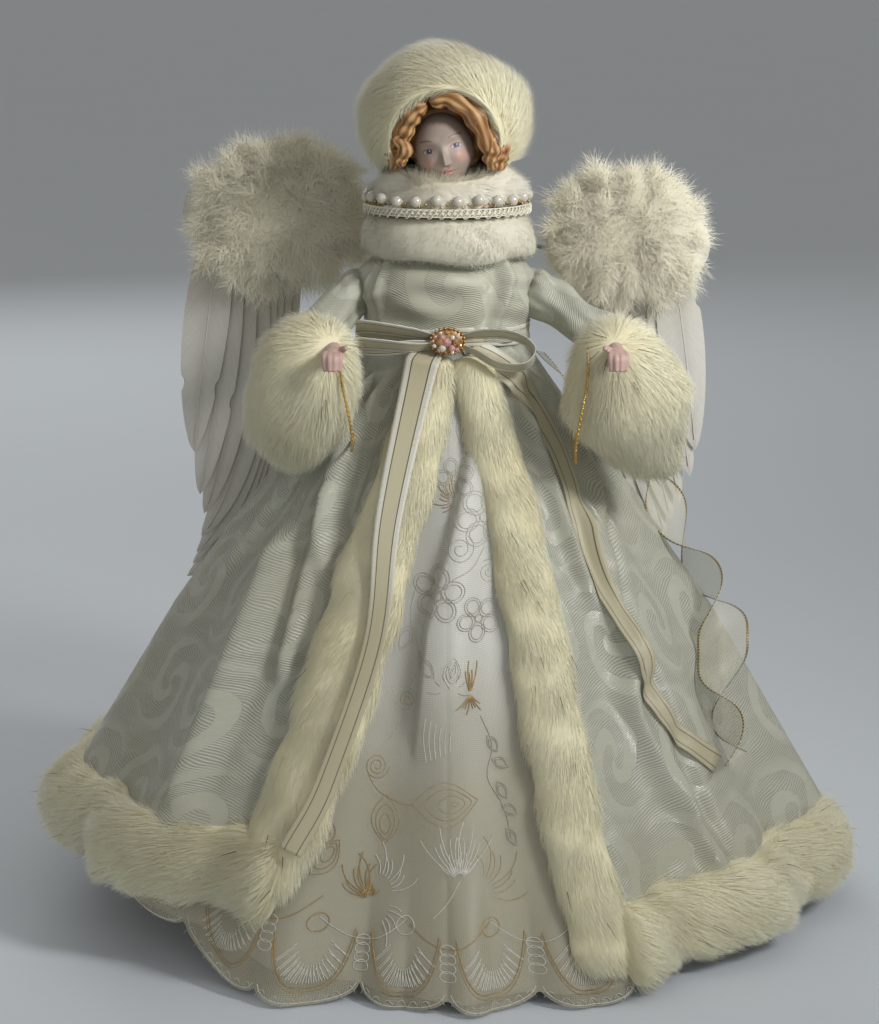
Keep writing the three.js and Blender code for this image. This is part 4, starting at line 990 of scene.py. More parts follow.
class TOPPER_OT_stage(bpy.types.Operator):
    """Sets the floor, the lights and the camera"""

    bl_idname = "topper.stage"
    bl_label = "Stage"

    def execute(self, context):
        scene = context.scene
        scene.view_settings.view_transform = "Standard"

        def floor(u, v):
            reach = 30000.0 * v**3
            return points(reach * np.sin(TAU * u), -reach * np.cos(TAU * u), 0 * u)

        mesh = surface(64, 40, floor, (0, 0, -3000))
        pale = (0.70, 0.75, 0.81)
        m = Finish("Pale floor")
        tone = m.mix(m.noise(3.0, 2.0) * 0.3, pale, shade(pale, 0.92))
        mesh.materials.append(m.done(Base_Color=tone, Roughness=0.8, Specular_IOR_Level=0.1))
        stand = bpy.data.objects.new("floor", mesh)
        context.collection.objects.link(stand)

        # The room's even light; seen by the camera it has the colour of the floor far off
        glow, sky = 0.31, (1.0, 0.98, 0.92)
        world = bpy.data.worlds.new("Room")
        world.use_nodes = True
        tree = world.node_tree
        light_path = tree.nodes.new("ShaderNodeLightPath")
        seen = tree.nodes.new("ShaderNodeMix")
        seen.data_type = "RGBA"
        seen.inputs["A"].default_value = (*sky, 1.0)
        seen.inputs["B"].default_value = (*(a * b for a, b in zip(sky, pale)), 1.0)
        tree.links.new(light_path.outputs["Is Camera Ray"], seen.inputs["Factor"])
        tree.links.new(seen.outputs["Result"], tree.nodes["Background"].inputs["Color"])
        tree.nodes["Background"].inputs["Strength"].default_value = glow
        scene.world = world

        def lamp(name, at, aim, size, watts, spread=180.0, tint=(1.0, 1.0, 0.99)):
            light = bpy.data.lights.new(name, "AREA")
            light.shape = "DISK"
            light.size = size
            light.energy = watts
            light.spread = np.radians(spread)
            light.color = tint
            holder = bpy.data.objects.new(name, light)
            holder.location = at
            holder.rotation_euler = (Vector(aim) - Vector(at)).to_track_quat("-Z", "Y").to_euler()
            context.collection.objects.link(holder)

        lamp("Window light", (0.64, -0.56, 0.74), (0.03, 0, 0.36), 0.25, 1.15, 70.0)
        lamp("Front fill", (0.2, -2.0, 0.9), (0, 0, 0.2), 1.2, 3.8)
        lamp("Back fill", (-0.5, 1.7, 1.1), (0, 0, 0.2), 1.2, 6.0)

        camera = bpy.data.cameras.new("Camera")
        camera.lens = 89.15
        camera.sensor_width = 36.0
        camera.sensor_fit = "AUTO"
        eye = bpy.data.objects.new("Camera", camera)
        eye.location = (-0.0034, -1.1227, 0.4269)
        aim = Vector((-0.0034, 0.0, 0.178))
        eye.rotation_euler = (aim - eye.location).to_track_quat("-Z", "Y").to_euler()
        context.collection.objects.link(eye)
        scene.camera = eye
        return {"FINISHED"}


class TOPPER_OT_inner_frame(bpy.types.Operator):
    """Finishes the card cone, the stuffing, the dowel and the wires, which keep their own shapes"""

    bl_idname = "topper.inner_frame"
    bl_label = "Inner frame"

    def execute(self, context):
        finishes = {
            "body_cone": card_finish("Card"),
            "torso_core": foam_finish("Stuffing"),
            "neck_dowel": wood_finish("Dowel wood"),
            "hem_wire": wire_finish("Florist wire"),
            "wing_mount_pad": card_finish("Card"),
        }
        for name in SIDES:
            finishes[f"arm_wire_{name}"] = wire_finish("Florist wire")
            finishes[f"wing_wire_{name}"] = wire_finish("Florist wire")
            finishes[f"wing_plate_{name}"] = foam_finish("Stuffing")
        for node, material in finishes.items():
            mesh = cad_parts[node].data
            mesh.materials.clear()
            mesh.materials.append(material)
        return {"FINISHED"}


class TOPPER_OT_petticoats(bpy.types.Operator):
    """Makes the net petticoat and the satin underskirt"""

    bl_idname = "topper.petticoats"
    bl_label = "Petticoat and underskirt"

    def execute(self, context):
        def layer(out, hem, seed, height, steps, pleated=0.0):
            def place(u, v):
                angle = TAU * u
                z = lerp(WAIST_Z, hem(angle), v)
                loose = height * ripple(points(60 * angle, z, 0 * z), 60.0, seed)[:, 0] * v
                return skirt_point(angle, z, out + loose + pleated * front_drape(angle, z))

            return surface(*steps, place, SKIRT_HEART)

        def net_hem(angle):
            return underskirt_hem(angle) + 11

        net = (0.62, 0.60, 0.52)
        spread = (900.0, 300.0)
        add_cloth(
            "petticoat_net", layer(-3 * LAYER, net_hem, 3, 0.25, (120, 30)),
            sheer_finish("Stiff net", net, net, 0.62, 1.6, spread), "petticoat",
            (1050, 290), share=0.62, wall=0.5,
        )
        add_cloth(
            "underskirt_satin", layer(-2 * LAYER, underskirt_hem, 4, 0.3, (240, 56), 1.0),
            satin_finish("Ivory satin", tones().satin, spread), "underskirt",
            (1080, 300), share=0.62, wall=0.5,
        )
        return {"FINISHED"}


# Apron

APRON_SPAN = (-60, 30)


def on_apron(angle, z, out):
    """Points out millimetres off the apron's ground, at angles and heights."""
    return skirt_point(angle, z, -LAYER + out + front_drape(angle, z))


class Stitching:
    """Lines of thread on the apron, kept by the colour of the floss."""

    def __init__(self):
        self.lines = {kind: [] for kind in ("white", "grey", "gilt", "tan")}

    def lay(self, kind, x, z, closed=False):
        """A line by its places in the front view."""
        self.lines[kind].append((on_apron(angle_at(x, z), z, 0.55), closed))

    def edge(self, kind, degrees, z, out=0.6):
        """A line by its angles from the front, for the border."""
        angle = np.radians(degrees)
        self.lines[kind].append((on_apron(angle, np.maximum(z, 0.8) + 0 * angle, out), False))

    def turned(self, kind, x, z, a, b, turn, closed=False):
        """A line given along and across a way that leaves a spot at a turn."""
        c, s = np.cos(turn), np.sin(turn)
        self.lay(kind, x + a * c - b * s, z + a * s + b * c, closed)

    def stem(self, kind, *knots):
        self.lay(kind, *spline(knots, np.linspace(0, 1, 30)).T)

    def curl(self, kind, x, z, radius, turns=2.2, turn=0.0):
        t = np.linspace(0, 1, 40)
        r = radius * (0.2 + 0.8 * t)
        a = turn + TAU * turns * t
        self.lay(kind, x + r * np.cos(a), z + r * np.sin(a))

    def fan(self, kind, x, z, near, far, low, high, count, bend=0.2):
        t = np.linspace(0, 1, 8)
        for i, a in enumerate(np.radians(np.linspace(low, high, count))):
            r = lerp(near, far * (0.82 + 0.18 * np.cos(i * 2.1)), t)
            b = a + bend * t**2 * np.sign(np.cos(a) + 1e-3)
            self.lay(kind, x + r * np.cos(b), z + r * np.sin(b))

    def leaf(self, kind, x, z, turn, long, wide, shells):
        t = np.linspace(0, TAU, 30)
        for shell in range(shells):
            k = 1 - 0.3 * shell
            a = long / 2 * (1 + k * np.cos(t)) + long * 0.05 * shell
            b = wide / 2 * k * np.sin(t) * np.sin(np.clip(a / long, 0, 1) * np.pi) ** 0.6
            self.turned(kind, x, z, a, b, turn)

    def ring(self, kind, x, z, wide, high, turn=0.0):
        t = np.linspace(0, TAU, 22)
        self.turned(kind, x, z, wide * np.cos(t), high * np.sin(t), turn, True)

    def blossom(self, kind, x, z, radius, petals, turn):
        for a in turn + TAU * np.arange(petals) / petals:
            petal_x, petal_z = x + radius * 0.6 * np.cos(a), z + radius * 0.6 * np.sin(a)
            for size in (1.0, 0.72):
                self.ring(kind, petal_x, petal_z, radius * 0.42 * size, radius * 0.38 * size, a)
        self.ring(kind, x, z, radius * 0.16, radius * 0.16)

    def flowers(self):
        """Flowers low on the apron, a leaf spray, and outlined blossoms up to the waist."""
        self.fan("gilt", -33, 41, 2.5, 17, 85, 175, 9, 0.35)
        self.fan("gilt", -33, 41, 1.0, 5.0, 20, 190, 14)
        self.fan("white", -30, 43, 7, 19, 8, 78, 8, 0.25)
        self.fan("white", -30, 38, 6, 15, -60, 5, 5, -0.2)
        self.fan("white", 5, 51, 3, 21, 38, 150, 13, 0.15)
        self.fan("white", 5, 51, 2, 10, 30, 160, 13)
        self.fan("tan", 14, 46, 5, 20, -30, 80, 8, 0.4)
        self.stem("white", (-6, 36), (0, 42), (5, 50))
        self.curl("tan", -30, 91, 5.2, 2.4, 3.6)
        self.stem("tan", (-34, 88), (-29, 81), (-20, 77), (-14, 77.5))
        self.leaf("tan", -15, 77, 0.10, 28, 17, 4)
        self.leaf("tan", -26, 80, -1.6, 19, 12, 3)
        self.curl("grey", -18, 117, 5, 2.3)
        self.curl("tan", -17, 117, 3.4, 1.6)
        self.stem("grey", (-24, 122), (-21, 108), (-25, 101))
        for i in range(6):
            self.stem("white", (-9 + 2.1 * i, 112 - i), (-10 + 2.2 * i, 103), (-9 + 2.0 * i, 94 + i))
        self.fan("grey", 1, 124, 4, 9, -30, 200, 7)
        self.leaf("white", 1, 124, 1.4, 12, 7, 4)
        self.fan("gilt", 9.5, 121, 1.5, 13, 72, 108, 5, 0.1)
        self.fan("gilt", 9.5, 121, 0.5, 8, 230, 310, 8, 0.1)
        self.stem("grey", (14, 112), (19, 100), (17, 88), (24, 76), (27, 64))
        for i in range(5):
            self.leaf("grey", 17 + 2.0 * i, 104 - 9 * i, -1.0 + 0.5 * (i % 2), 8, 4, 2)
        self.blossom("grey", -4, 160, 11, 5, 0.2)
        self.blossom("grey", 13, 150, 9, 5, 0.8)
        self.blossom("grey", 15, 190, 12, 6, 0.1)
        self.blossom("grey", 3, 205, 8, 5, 0.6)
        self.curl("grey", 5, 178, 6, 2.0, 1.0)
        self.curl("grey", 17, 168, 5, 2.0, 2.0)
        self.stem("grey", (15, 178), (10, 170), (2, 166), (-4, 160))
        self.stem("grey", (3, 205), (8, 214), (4, 224), (7, 236))
        self.fan("gilt", 4, 196, 3, 10, 110, 230, 9)
        self.stem("grey", (-12, 166), (-16, 150), (-12, 134), (-17, 120))
        self.leaf("grey", -16, 146, -2.0, 11, 6, 2)
        self.leaf("grey", -13, 136, -0.8, 11, 6, 2)
        self.curl("tan", -52, 66, 5, 2.2)
        self.leaf("tan", -58, 50, 0.8, 18, 11, 3)

    def border(self, count):
        """Scallops: couched gilt arcs, white fans in each, swags over them and a netted picot below."""

        def hem_at(degrees):
            return apron_hem(np.radians(np.array([degrees])))[0]

        low_end, high_end = APRON_SPAN
        wide = (high_end - low_end) / count
        t = np.linspace(-1, 1, 31)
        across, up = np.cos(TAU * t), np.sin(TAU * t)
        for i in range(count):
            middle = low_end + wide * (i + 0.5)
            oval_floss, swag_floss = ("white", "gilt") if i % 2 else ("gilt", "white")
            run = middle + t * wide * 0.47
            hem = apron_hem(np.radians(np.clip(middle + t * wide * 0.499, low_end, high_end)))
            arch = 15 * np.abs(t) ** 3.2
            self.edge("white", run, hem + 1.0)
            self.edge("gilt", run * 0.90 + middle * 0.10, hem + 5.0 + arch)
            self.edge("gilt", run * 0.86 + middle * 0.14, hem + 6.6 + arch, 0.9)
            base = hem_at(middle)
            for k in np.linspace(-1, 1, 15):
                tip = middle + k * wide * 0.34
                low = base + 8.2 + 9 * abs(k) ** 2.6
                for shift, share, tall in ((0.0, 0.45, 6.5), (0.4, 0.5, 5)):
                    ray = np.linspace(tip + shift, middle + (tip - middle) * share, 5)
                    self.edge("white", ray, np.linspace(low, low + tall, 5))
            top = base + 31
            self.edge(oval_floss, middle + 1.6 * across, top + 3.6 * up)
            if i < count - 1:
                swag = np.linspace(0, 1, 25)
                self.edge(swag_floss, middle + wide * swag, top - 9 * np.sin(np.pi * swag) + 2)
                for j in range(4):
                    self.edge("white", middle + wide / 2 + 1.3 * across, base + 14 + 3.2 * j + 2.0 * up)
            for k in range(7):
                spot = middle + (k - 3) * wide * 0.135
                picot = hem_at(spot) + 0.6 + 2.6 * np.sin(np.pi * t) ** 2
                self.edge("white", spot + wide * 0.06 * np.cos(np.pi * t), picot)


class TOPPER_OT_apron(bpy.types.Operator):
    """Makes the sheer organza apron with its scalloped hem and stitched flowers"""

    bl_idname = "topper.apron"
    bl_label = "Organza apron"

    def execute(self, context):
        def place(u, v):
            angle = np.radians(lerp(*APRON_SPAN, u))
            z = lerp(WAIST_Z, apron_hem(angle), v)
            sway = 0.4 + 0.5 * np.sin(9 * angle + z / 34) * (WAIST_Z - z) / WAIST_Z
            return on_apron(angle, z, np.minimum(0.6, sway))

        organza = sheer_finish("Ivory organza", tones().organza, (0.44, 0.41, 0.30), 0.5, 0.8)
        add_cloth(
            "apron_organza", surface(200, 90, place, SKIRT_HEART), organza, "organza_apron",
            (260, 305), share=0.6,
        )
        gown = context.scene.topper_gown
        stitching = Stitching()
        stitching.flowers()
        stitching.border(gown.scallops)
        # Each floss and its thickness, as a share of the thread's
        flosses = {
            "white": (thread_finish("White floss", (0.72, 0.71, 0.64)), 0.9),
            "grey": (thread_finish("Grey floss", (0.46, 0.44, 0.36)), 0.8),
            "gilt": (thread_finish("Gilt thread", (0.44, 0.30, 0.12), 0.45), 1.0),
            "tan": (thread_finish("Tan thread", (0.44, 0.34, 0.18), 0.2), 0.85),
        }
        for kind, (floss, share) in flosses.items():
            mesh = thread_mesh(stitching.lines[kind], gown.thread / MM * share)
            add_piece(f"apron_stitches_{kind}", mesh, floss)
        return {"FINISHED"}


class TOPPER_OT_robe(bpy.types.Operator):
    """Makes the robe's two front panels and its back"""

    bl_idname = "topper.robe"
    bl_label = "Robe"

    def execute(self, context):
        height = context.scene.topper_gown.wrinkle / MM
        silk = faille_finish("Ivory faille", tones().brocade)

        def panel(name, side):
            def place(u, v):
                z = lerp(WAIST_Z, HEM_Z[name], v)
                angle = lerp(angle_at(edge_x(name, z), z), side * (SEAM - 0.004), u)
                z = lerp(WAIST_Z, robe_hem(angle), v)
                calm = smooth(u, 0.0, 0.10) * smooth(1 - u, 0.0, 0.03)
                return skirt_point(angle, z, robe_out(name, angle, z) * calm)

            return surface(136, 88, place, SKIRT_HEART)

        def back(u, v):
            angle = lerp(SEAM, TAU - SEAM, u)
            z = lerp(WAIST_Z, robe_hem(angle), v)
            calm = smooth(u, 0.0, 0.03) * smooth(1 - u, 0.0, 0.03)
            return skirt_point(angle, z, cloth_folds(angle, z, 21, height) * calm)

        for name, side in SIDES.items():
            add_cloth(
                f"robe_{name}", panel(name, side), silk, f"robe_{name}_panel",
                (330, 300), share=0.6, wall=0.6,
            )
        add_cloth(
            "robe_back", surface(100, 60, back, SKIRT_HEART), silk, "robe_back_panel",
            (330, 300), share=0.62, wall=0.6,
        )
        return {"FINISHED"}


class TOPPER_OT_fur_trims(bpy.types.Operator):
    """Makes the fur down the robe's front edges and along its hem"""

    bl_idname = "topper.fur_trims"
    bl_label = "Fur trims"

    def execute(self, context):
        sizes = context.scene.topper_fur
        # Half widths of each trim at its top and from half way, and how far it sits outwards of its edge
        self.front_trim("left", 10.5, 17.0, 6.0, sizes.trim_pile)
        self.front_trim("right", 10.0, 13.0, 0.0, sizes.trim_pile)
        # Where each run of the hem's fur begins and ends round the skirt, and its hairs
        self.hem_trim("left", np.radians(-29), -SEAM - 0.03, 36000, sizes.hem_pile)
        self.hem_trim("right", np.radians(28), SEAM + 0.03, 36000, sizes.hem_pile)
        self.hem_trim("back", SEAM, TAU - SEAM, 22000, sizes.hem_pile)
        return {"FINISHED"}

    def facing_out(self, at, out):
        """True where the pile isn't pressed against the robe."""
        way = unit(at * [1, 1, 0] + [0, 0, 30])
        return (out * way).sum(axis=1) > -0.05

    def front_trim(self, name, top, full, shift, pile):
        side = SIDES[name]

        def line(u):
            z = lerp(TRIM_TOP_Z + 9, HEM_Z[name] - 4, u)
            move = side * shift * smooth(u, 0.1, 0.45)
            at, around, _, out = skirt_frame(angle_at(edge_x(name, z) + move, z), z)
            return at + out * 0.4, around, out

        def half(u, turn):
            lump = 1 + 0.05 * np.sin(u * 30 + turn) + 0.04 * np.sin(u * 53 + 2 * turn)
            return lerp(top, full, np.minimum(1, 2 * u)) * lump

        def high(u, turn):
            lump = 1 + 0.04 * np.sin(u * 17 + 1.3) + 0.03 * np.sin(u * 29)
            return np.where(np.sin(turn) > 0, 6.8 * lump, 0.4)

        def comb(at):
            drift = 0.35 * np.sin(at[:, 2] / 26 + side)
            return unit(points(side * 0.25 + drift, -0.1, -1.0))

        fur_piece(
            f"front_trim_{name}", roll_mesh(140, 28, line, half, high), f"front_fur_{name}", 31000, pile,
            comb, self.facing_out, seed=31 + side, lift=0.24, clump=0.16, droop=0.1, wide=0.19, loose=0.07,
        )

    def hem_trim(self, name, begin, end, strands, pile):
        way_round = 0.75 if name == "right" else -0.75

        def line(u):
            angle = lerp(begin, end, u)
            at, _, down, out = skirt_frame(angle, robe_hem(angle) + 4.5)
            return at + out * 0.4, down, out

        def half(u, turn):
            return 17.0 * (1 + 0.06 * np.sin(u * 41 + turn) + 0.04 * np.sin(u * 77 + 2 * turn))

        def high(u, turn):
            lump = 1 + 0.06 * np.sin(u * 23 + 0.4) + 0.04 * np.sin(u * 41)
            return np.where(np.sin(turn) > 0, 9.2 * lump, 0.4)

        def comb(at):
            spin = unit(points(-at[:, 1], at[:, 0], 0.0))
            return unit(at * [1, 1, 0]) * 0.35 + spin * way_round + [0, 0, -0.45]

        fur_piece(
            f"hem_trim_{name}", roll_mesh(180, 28, line, half, high, 0.02), f"hem_fur_{name}", strands, pile,
            comb, self.facing_out, seed=41 + len(name), lift=0.32, clump=0.24, droop=0.1, wide=0.22,
            loose=0.1,
        )


# Bodice, sleeves and collars

BODY_DEPTH = 28 / 34
SHOULDER_Z, TORSO_TOP_Z = 284.0, 298.0
COLLAR_DEPTH = 0.94
COWL_Z, GIMP_Z, PEARL_Z, RUFF_Z = 304.4, 316.4, 321.4, 326.2
BOW_Z = HAND_Z = 262.0
# How far inwards of a cuff's middle its braid runs
BRAID_INSET = 20

# Each cuff's middle, its radii and where its hand comes out along x
CUFFS = {
    "left": (np.array([-63.0, -50.0, 241.0]), np.array([27.0, 26.0, 36.0]), -48.0),
    "right": (np.array([77.0, -50.0, 238.0]), np.array([29.0, 26.0, 37.0]), 71.0),
}


def ring_point(angle, radius, z, depth):
    return points(radius * np.sin(angle), -radius * np.cos(angle) * depth, z)


class TOPPER_OT_bodice(bpy.types.Operator):
    """Makes the bodice and the sleeves"""

    bl_idname = "topper.bodice"
    bl_label = "Bodice and sleeves"

    def execute(self, context):
        brocade = tones().brocade
        silk = faille_finish("Bodice faille", shade(brocade, 1.17), 1.0, 0.4, (230.0, 46.0), 0.56)
        add_cloth(
            "bodice_cloth", surface(180, 44, self.bodice, (0, 0, 278)), silk, "bodice",
            (225, 46), wall=0.5,
        )
        silk = faille_finish("Sleeve faille", shade(brocade, 1.08), 1.0, 0.4, (110.0, 95.0), 0.56)
        for name, side in SIDES.items():
            add_cloth(
                f"sleeve_cloth_{name}", self.sleeve(name, side), silk, f"sleeve_{name}",
                (80, 62), body=f"{name}_arm",
            )
        return {"FINISHED"}

    def bodice(self, u, v):
        angle = TAU * (u - 0.5)
        z = lerp(WAIST_Z + 0.4, TORSO_TOP_Z + 1.0, v)
        radius = spline([(34.4,), (35.6,), (37.4,), (38.0,), (35.2,), (27.6,)], v)[:, 0]
        # A deep fold down the right side, tucks at the left shoulder and a roll across the chest
        fold = 4.4 * bump_at(angle, 0.80 - 0.25 * (1 - v), 0.08)
        fold = fold - 2.6 * bump_at(angle, 0.62 - 0.2 * (1 - v), 0.06)
        tucks = 2.4 * bump_at(angle, -0.86, 0.06) + 1.8 * bump_at(angle, -1.06, 0.05)
        roll = 1.6 * bump_at(z, 286 + 2.0 * np.sin(2 * angle), 4.5) * np.maximum(0, np.cos(angle)) ** 0.5
        slack = 1.7 * ripple(points(26 * angle, z, 0 * z), 15.0, 5)[:, 0] + 0.4 * np.sin(9 * angle + z / 5)
        # Fine creases that run from the armholes towards the middle
        drawn = bump_at(np.sin(0.42 * z + 4.0 * np.abs(angle)), 1.0, 0.35) * smooth(np.abs(angle), 0.15, 0.9)
        swell = np.maximum(-0.6, (fold + tucks) * smooth(v, 0.02, 0.5) + roll + slack + 0.9 * drawn)
        return ring_point(angle, radius + 0.9 + swell, z, BODY_DEPTH)

    def sleeve(self, name, side):
        cuff, radii = CUFFS[name][:2]
        route = [
            (side * 34.0, 0.0, SHOULDER_Z - 3.0),
            (side * 42.0, -5.0, SHOULDER_Z - 7.0),
            (lerp(side * 44.0, cuff[0], 0.45), -17.0, SHOULDER_Z - 16.4),
            (lerp(side * 44.0, cuff[0], 0.9), -28.0, cuff[2] + radii[2] * 0.55),
            (cuff[0], -42.0, cuff[2] + radii[2] * 0.30),
        ]

        def place(u, v):
            ahead = heading(route, v)
            across = unit(np.cross(ahead, [0.0, 1.0, 0.0]))
            turn = TAU * u
            radius = np.interp(v, [0, 0.15, 0.4, 0.75, 1.0], [8.5, 10.0, 10.2, 9.8, 9.8])
            gathers = 0.7 * np.cos(13 * turn + 4 * v) * (bump_at(v, 0.0, 0.25) + bump_at(v, 1.0, 0.3))
            creases = 1.5 * bump_at(np.sin(11 * v + 1.5 * np.sin(turn)), 1.0, 0.35)
            crumple = points(14 * np.cos(turn), 14 * np.sin(turn), 50 * v)
            crumple = 1.4 * ripple(crumple, 14.0, 8 + side)[:, 0]
            radius = radius + gathers + (crumple + creases - 0.6) * np.sin(np.pi * np.clip(v, 0, 1)) ** 0.6
            return about(spline(route, v), across, unit(np.cross(across, ahead)), turn, radius, radius)

        return surface(84, 70, place, spline(route, np.array([0.5]))[0])


class TOPPER_OT_collar(bpy.types.Operator):
    """Makes the plush cowl, the gimp, the pearls and the swansdown round the neck"""

    bl_idname = "topper.collar"
    bl_label = "Collar"

    def execute(self, context):
        self.cowl()
        self.gimp()
        self.pearls(24)
        self.ruff(0.75 * context.scene.topper_fur.collar_pile)
        return {"FINISHED"}

    def cowl(self):
        plush = fur_finish("Ivory plush", (0.78, 0.77, 0.66), (0.64, 0.60, 0.47), 0.3, 0.9995)

        def place(u, v):
            angle, turn = TAU * u, TAU * v
            # A folded band: its section is an upright oval that leans in at the top
            lean = np.sin(turn)
            soft = 0.8 * np.sin(3 * angle + 0.6) + 0.5 * np.sin(7 * angle + turn)
            near = np.maximum(0, np.cos(angle - 0.5))
            crease = bump_at(np.sin(angle - 0.5 + 0.35 * lean), 0.0, 0.10) * near
            drape = 3.2 * bump_at(angle, 1.35, 0.55) * (0.6 - 0.4 * lean)
            outside = np.cos(turn) > 0
            radius = 32.8 + 4.6 * np.cos(turn) - 1.4 * lean + (0.6 * soft + drape - 1.1 * crease) * outside
            low = (0.9 * np.sin(2 * angle + 1.0) + 0.8 * np.sin(5 * angle)) * (0.6 - 0.4 * lean)
            return ring_point(angle, radius, COWL_Z + 9.2 * lean - low, COLLAR_DEPTH)

        fur_piece(
            "cowl", surface(180, 36, place), "cowl_collar", 16000, 4.2 * MM,
            lambda at: np.tile([0.25, 0.0, -1.0], (len(at), 1)),
            lambda at, out: np.hypot(at[:, 0], at[:, 1]) > 30,
            seed=51, material=plush, lift=0.6, clump=0.55, loose=0.45, wide=0.18,
        )

    def gimp(self):
        """Looped cords over a woven band."""
        t = np.linspace(0, TAU, 352, endpoint=False)
        cords = []
        for phase, height in ((0.0, 316.6), (np.pi, 316.6), (0.5 * np.pi, 315.2)):
            loop = 44 * t + phase
            radius, z = 36.6 + 0.5 * np.cos(loop), height + 1.2 * np.sin(loop)
            cords.append((ring_point(t, radius, z, COLLAR_DEPTH), True))
        for height in (314.9, 318.0):
            cords.append((ring_point(t, 36.5, height, COLLAR_DEPTH), True))
        cream = thread_finish("Cream gimp", (0.78, 0.74, 0.60))
        add_piece("gimp_cords", thread_mesh(cords, 0.32), cream, "gimp_braid")

        def band(u, v):
            turn = TAU * v
            return ring_point(TAU * u, 34.6 + 1.6 * np.cos(turn), GIMP_Z + 1.7 * np.sin(turn), COLLAR_DEPTH)

        woven = thread_finish("Cream band", (0.74, 0.71, 0.58))
        add_piece("gimp_band", surface(120, 12, band), woven)

    def pearls(self, count):
        """A string of pearls, with three gold beads between each two."""

        def string(bm):
            for i in range(count):
                at = ring_point(TAU * (i + 0.5) / count, 35.6, PEARL_Z + 0.5 * np.sin(1.7 * i), COLLAR_DEPTH)
                spot = Matrix.Translation(Vector(at * MM))
                bmesh.ops.create_uvsphere(bm, u_segments=20, v_segments=12, radius=2.5 * MM, matrix=spot)

        def beads(bm):
            for i in range(count):
                for shift, drop, radius in ((0.5, -1.2, 0.75), (0.2, -2.3, 0.55), (0.8, -2.3, 0.55)):
                    angle = TAU * (i + 0.5 + shift) / count
                    ball(bm, ring_point(angle, 36.2, PEARL_Z + drop, COLLAR_DEPTH), radius)

        add_piece("pearls", joined_mesh(string), pearl_finish("Pearl"), "pearl_string")
        add_piece("gold_beads", joined_mesh(beads), gilt_finish("Gilt braid"))

    def ruff(self, pile):
        down = fur_finish("Swansdown", tones().swansdown, (0.86, 0.81, 0.68), 0.1, 0.9995)

        def place(u, v):
            angle, turn = TAU * u, TAU * v
            front = np.maximum(0, np.cos(angle))
            # A slanting oval section, high beside the chin and low behind the pearls
            along, through = 8.0 * np.cos(turn), (3.4 + 0.4 * np.sin(5 * angle + 1)) * np.sin(turn)
            radius = 27.0 - 0.7 * along - 0.7 * through
            height = RUFF_Z + 0.7 * along - 0.7 * through - 3.4 * front**2
            return ring_point(angle, radius, height, COLLAR_DEPTH)

        def away(at):
            return unit(at * [1, 1, 0])

        fur_piece(
            "swansdown_ruff", surface(160, 24, place), "fur_collar", 27000, pile,
            lambda at: away(at) * 0.5 + [0.1, 0, 0.1],
            lambda at, out: (out * away(at)).sum(axis=1) + out[:, 2] > 0.1,
            seed=52, material=down, lift=0.8, clump=0.9, loose=0.35, droop=0.15, wide=0.18,
            cut=lambda at: 0.3 + 0.7 * smooth(at[:, 2] + 3.0 * (at[:, 1] < 0), 321.5, 328.5),
        )


# Head

FACE_AT = np.array([-1.2, -9.0, 342.2])
# The head is rolled in the front view, tipped forwards, then turned about Z
HEAD_TURN = np.array(
    Matrix.Rotation(np.radians(-2.0), 3, "Z")
    @ Matrix.Rotation(np.radians(5.0), 3, "X")
    @ Matrix.Rotation(np.radians(-14.0), 3, "Y")
)
# The face's rises and hollows: height, then middle and half width upwards, then both across
FEATURES = (
    (0.9, 6.6, 2.2, 6.0, 4.6),  # brow
    (-1.7, 2.9, 2.4, 5.6, 3.3),  # eye hollows
    (0.95, 2.4, 1.5, 6.1, 2.4),  # eyeballs
    (1.2, -3.6, 3.6, 7.2, 3.6),  # cheeks
    (0.8, -4.3, 0.9, 1.5, 0.8),  # nostrils
    (-0.35, -6.0, 0.7, 0.0, 0.9),  # groove over the lip
    (0.95, -7.4, 0.85, 0.0, 2.4),  # upper lip
    (1.0, -9.1, 0.85, 0.0, 1.9),  # lower lip
    (-0.9, -8.25, 0.36, 0.0, 2.9),  # between the lips
    (-0.5, -10.6, 0.8, 0.0, 2.2),  # over the chin
    (1.2, -12.8, 2.0, 0.0, 3.0),  # chin
)
HAIR_MIDDLE = np.array([-0.8, 0, 348])
HAIR_FULLNESS = np.array([1.21, 1.05, 1.20])
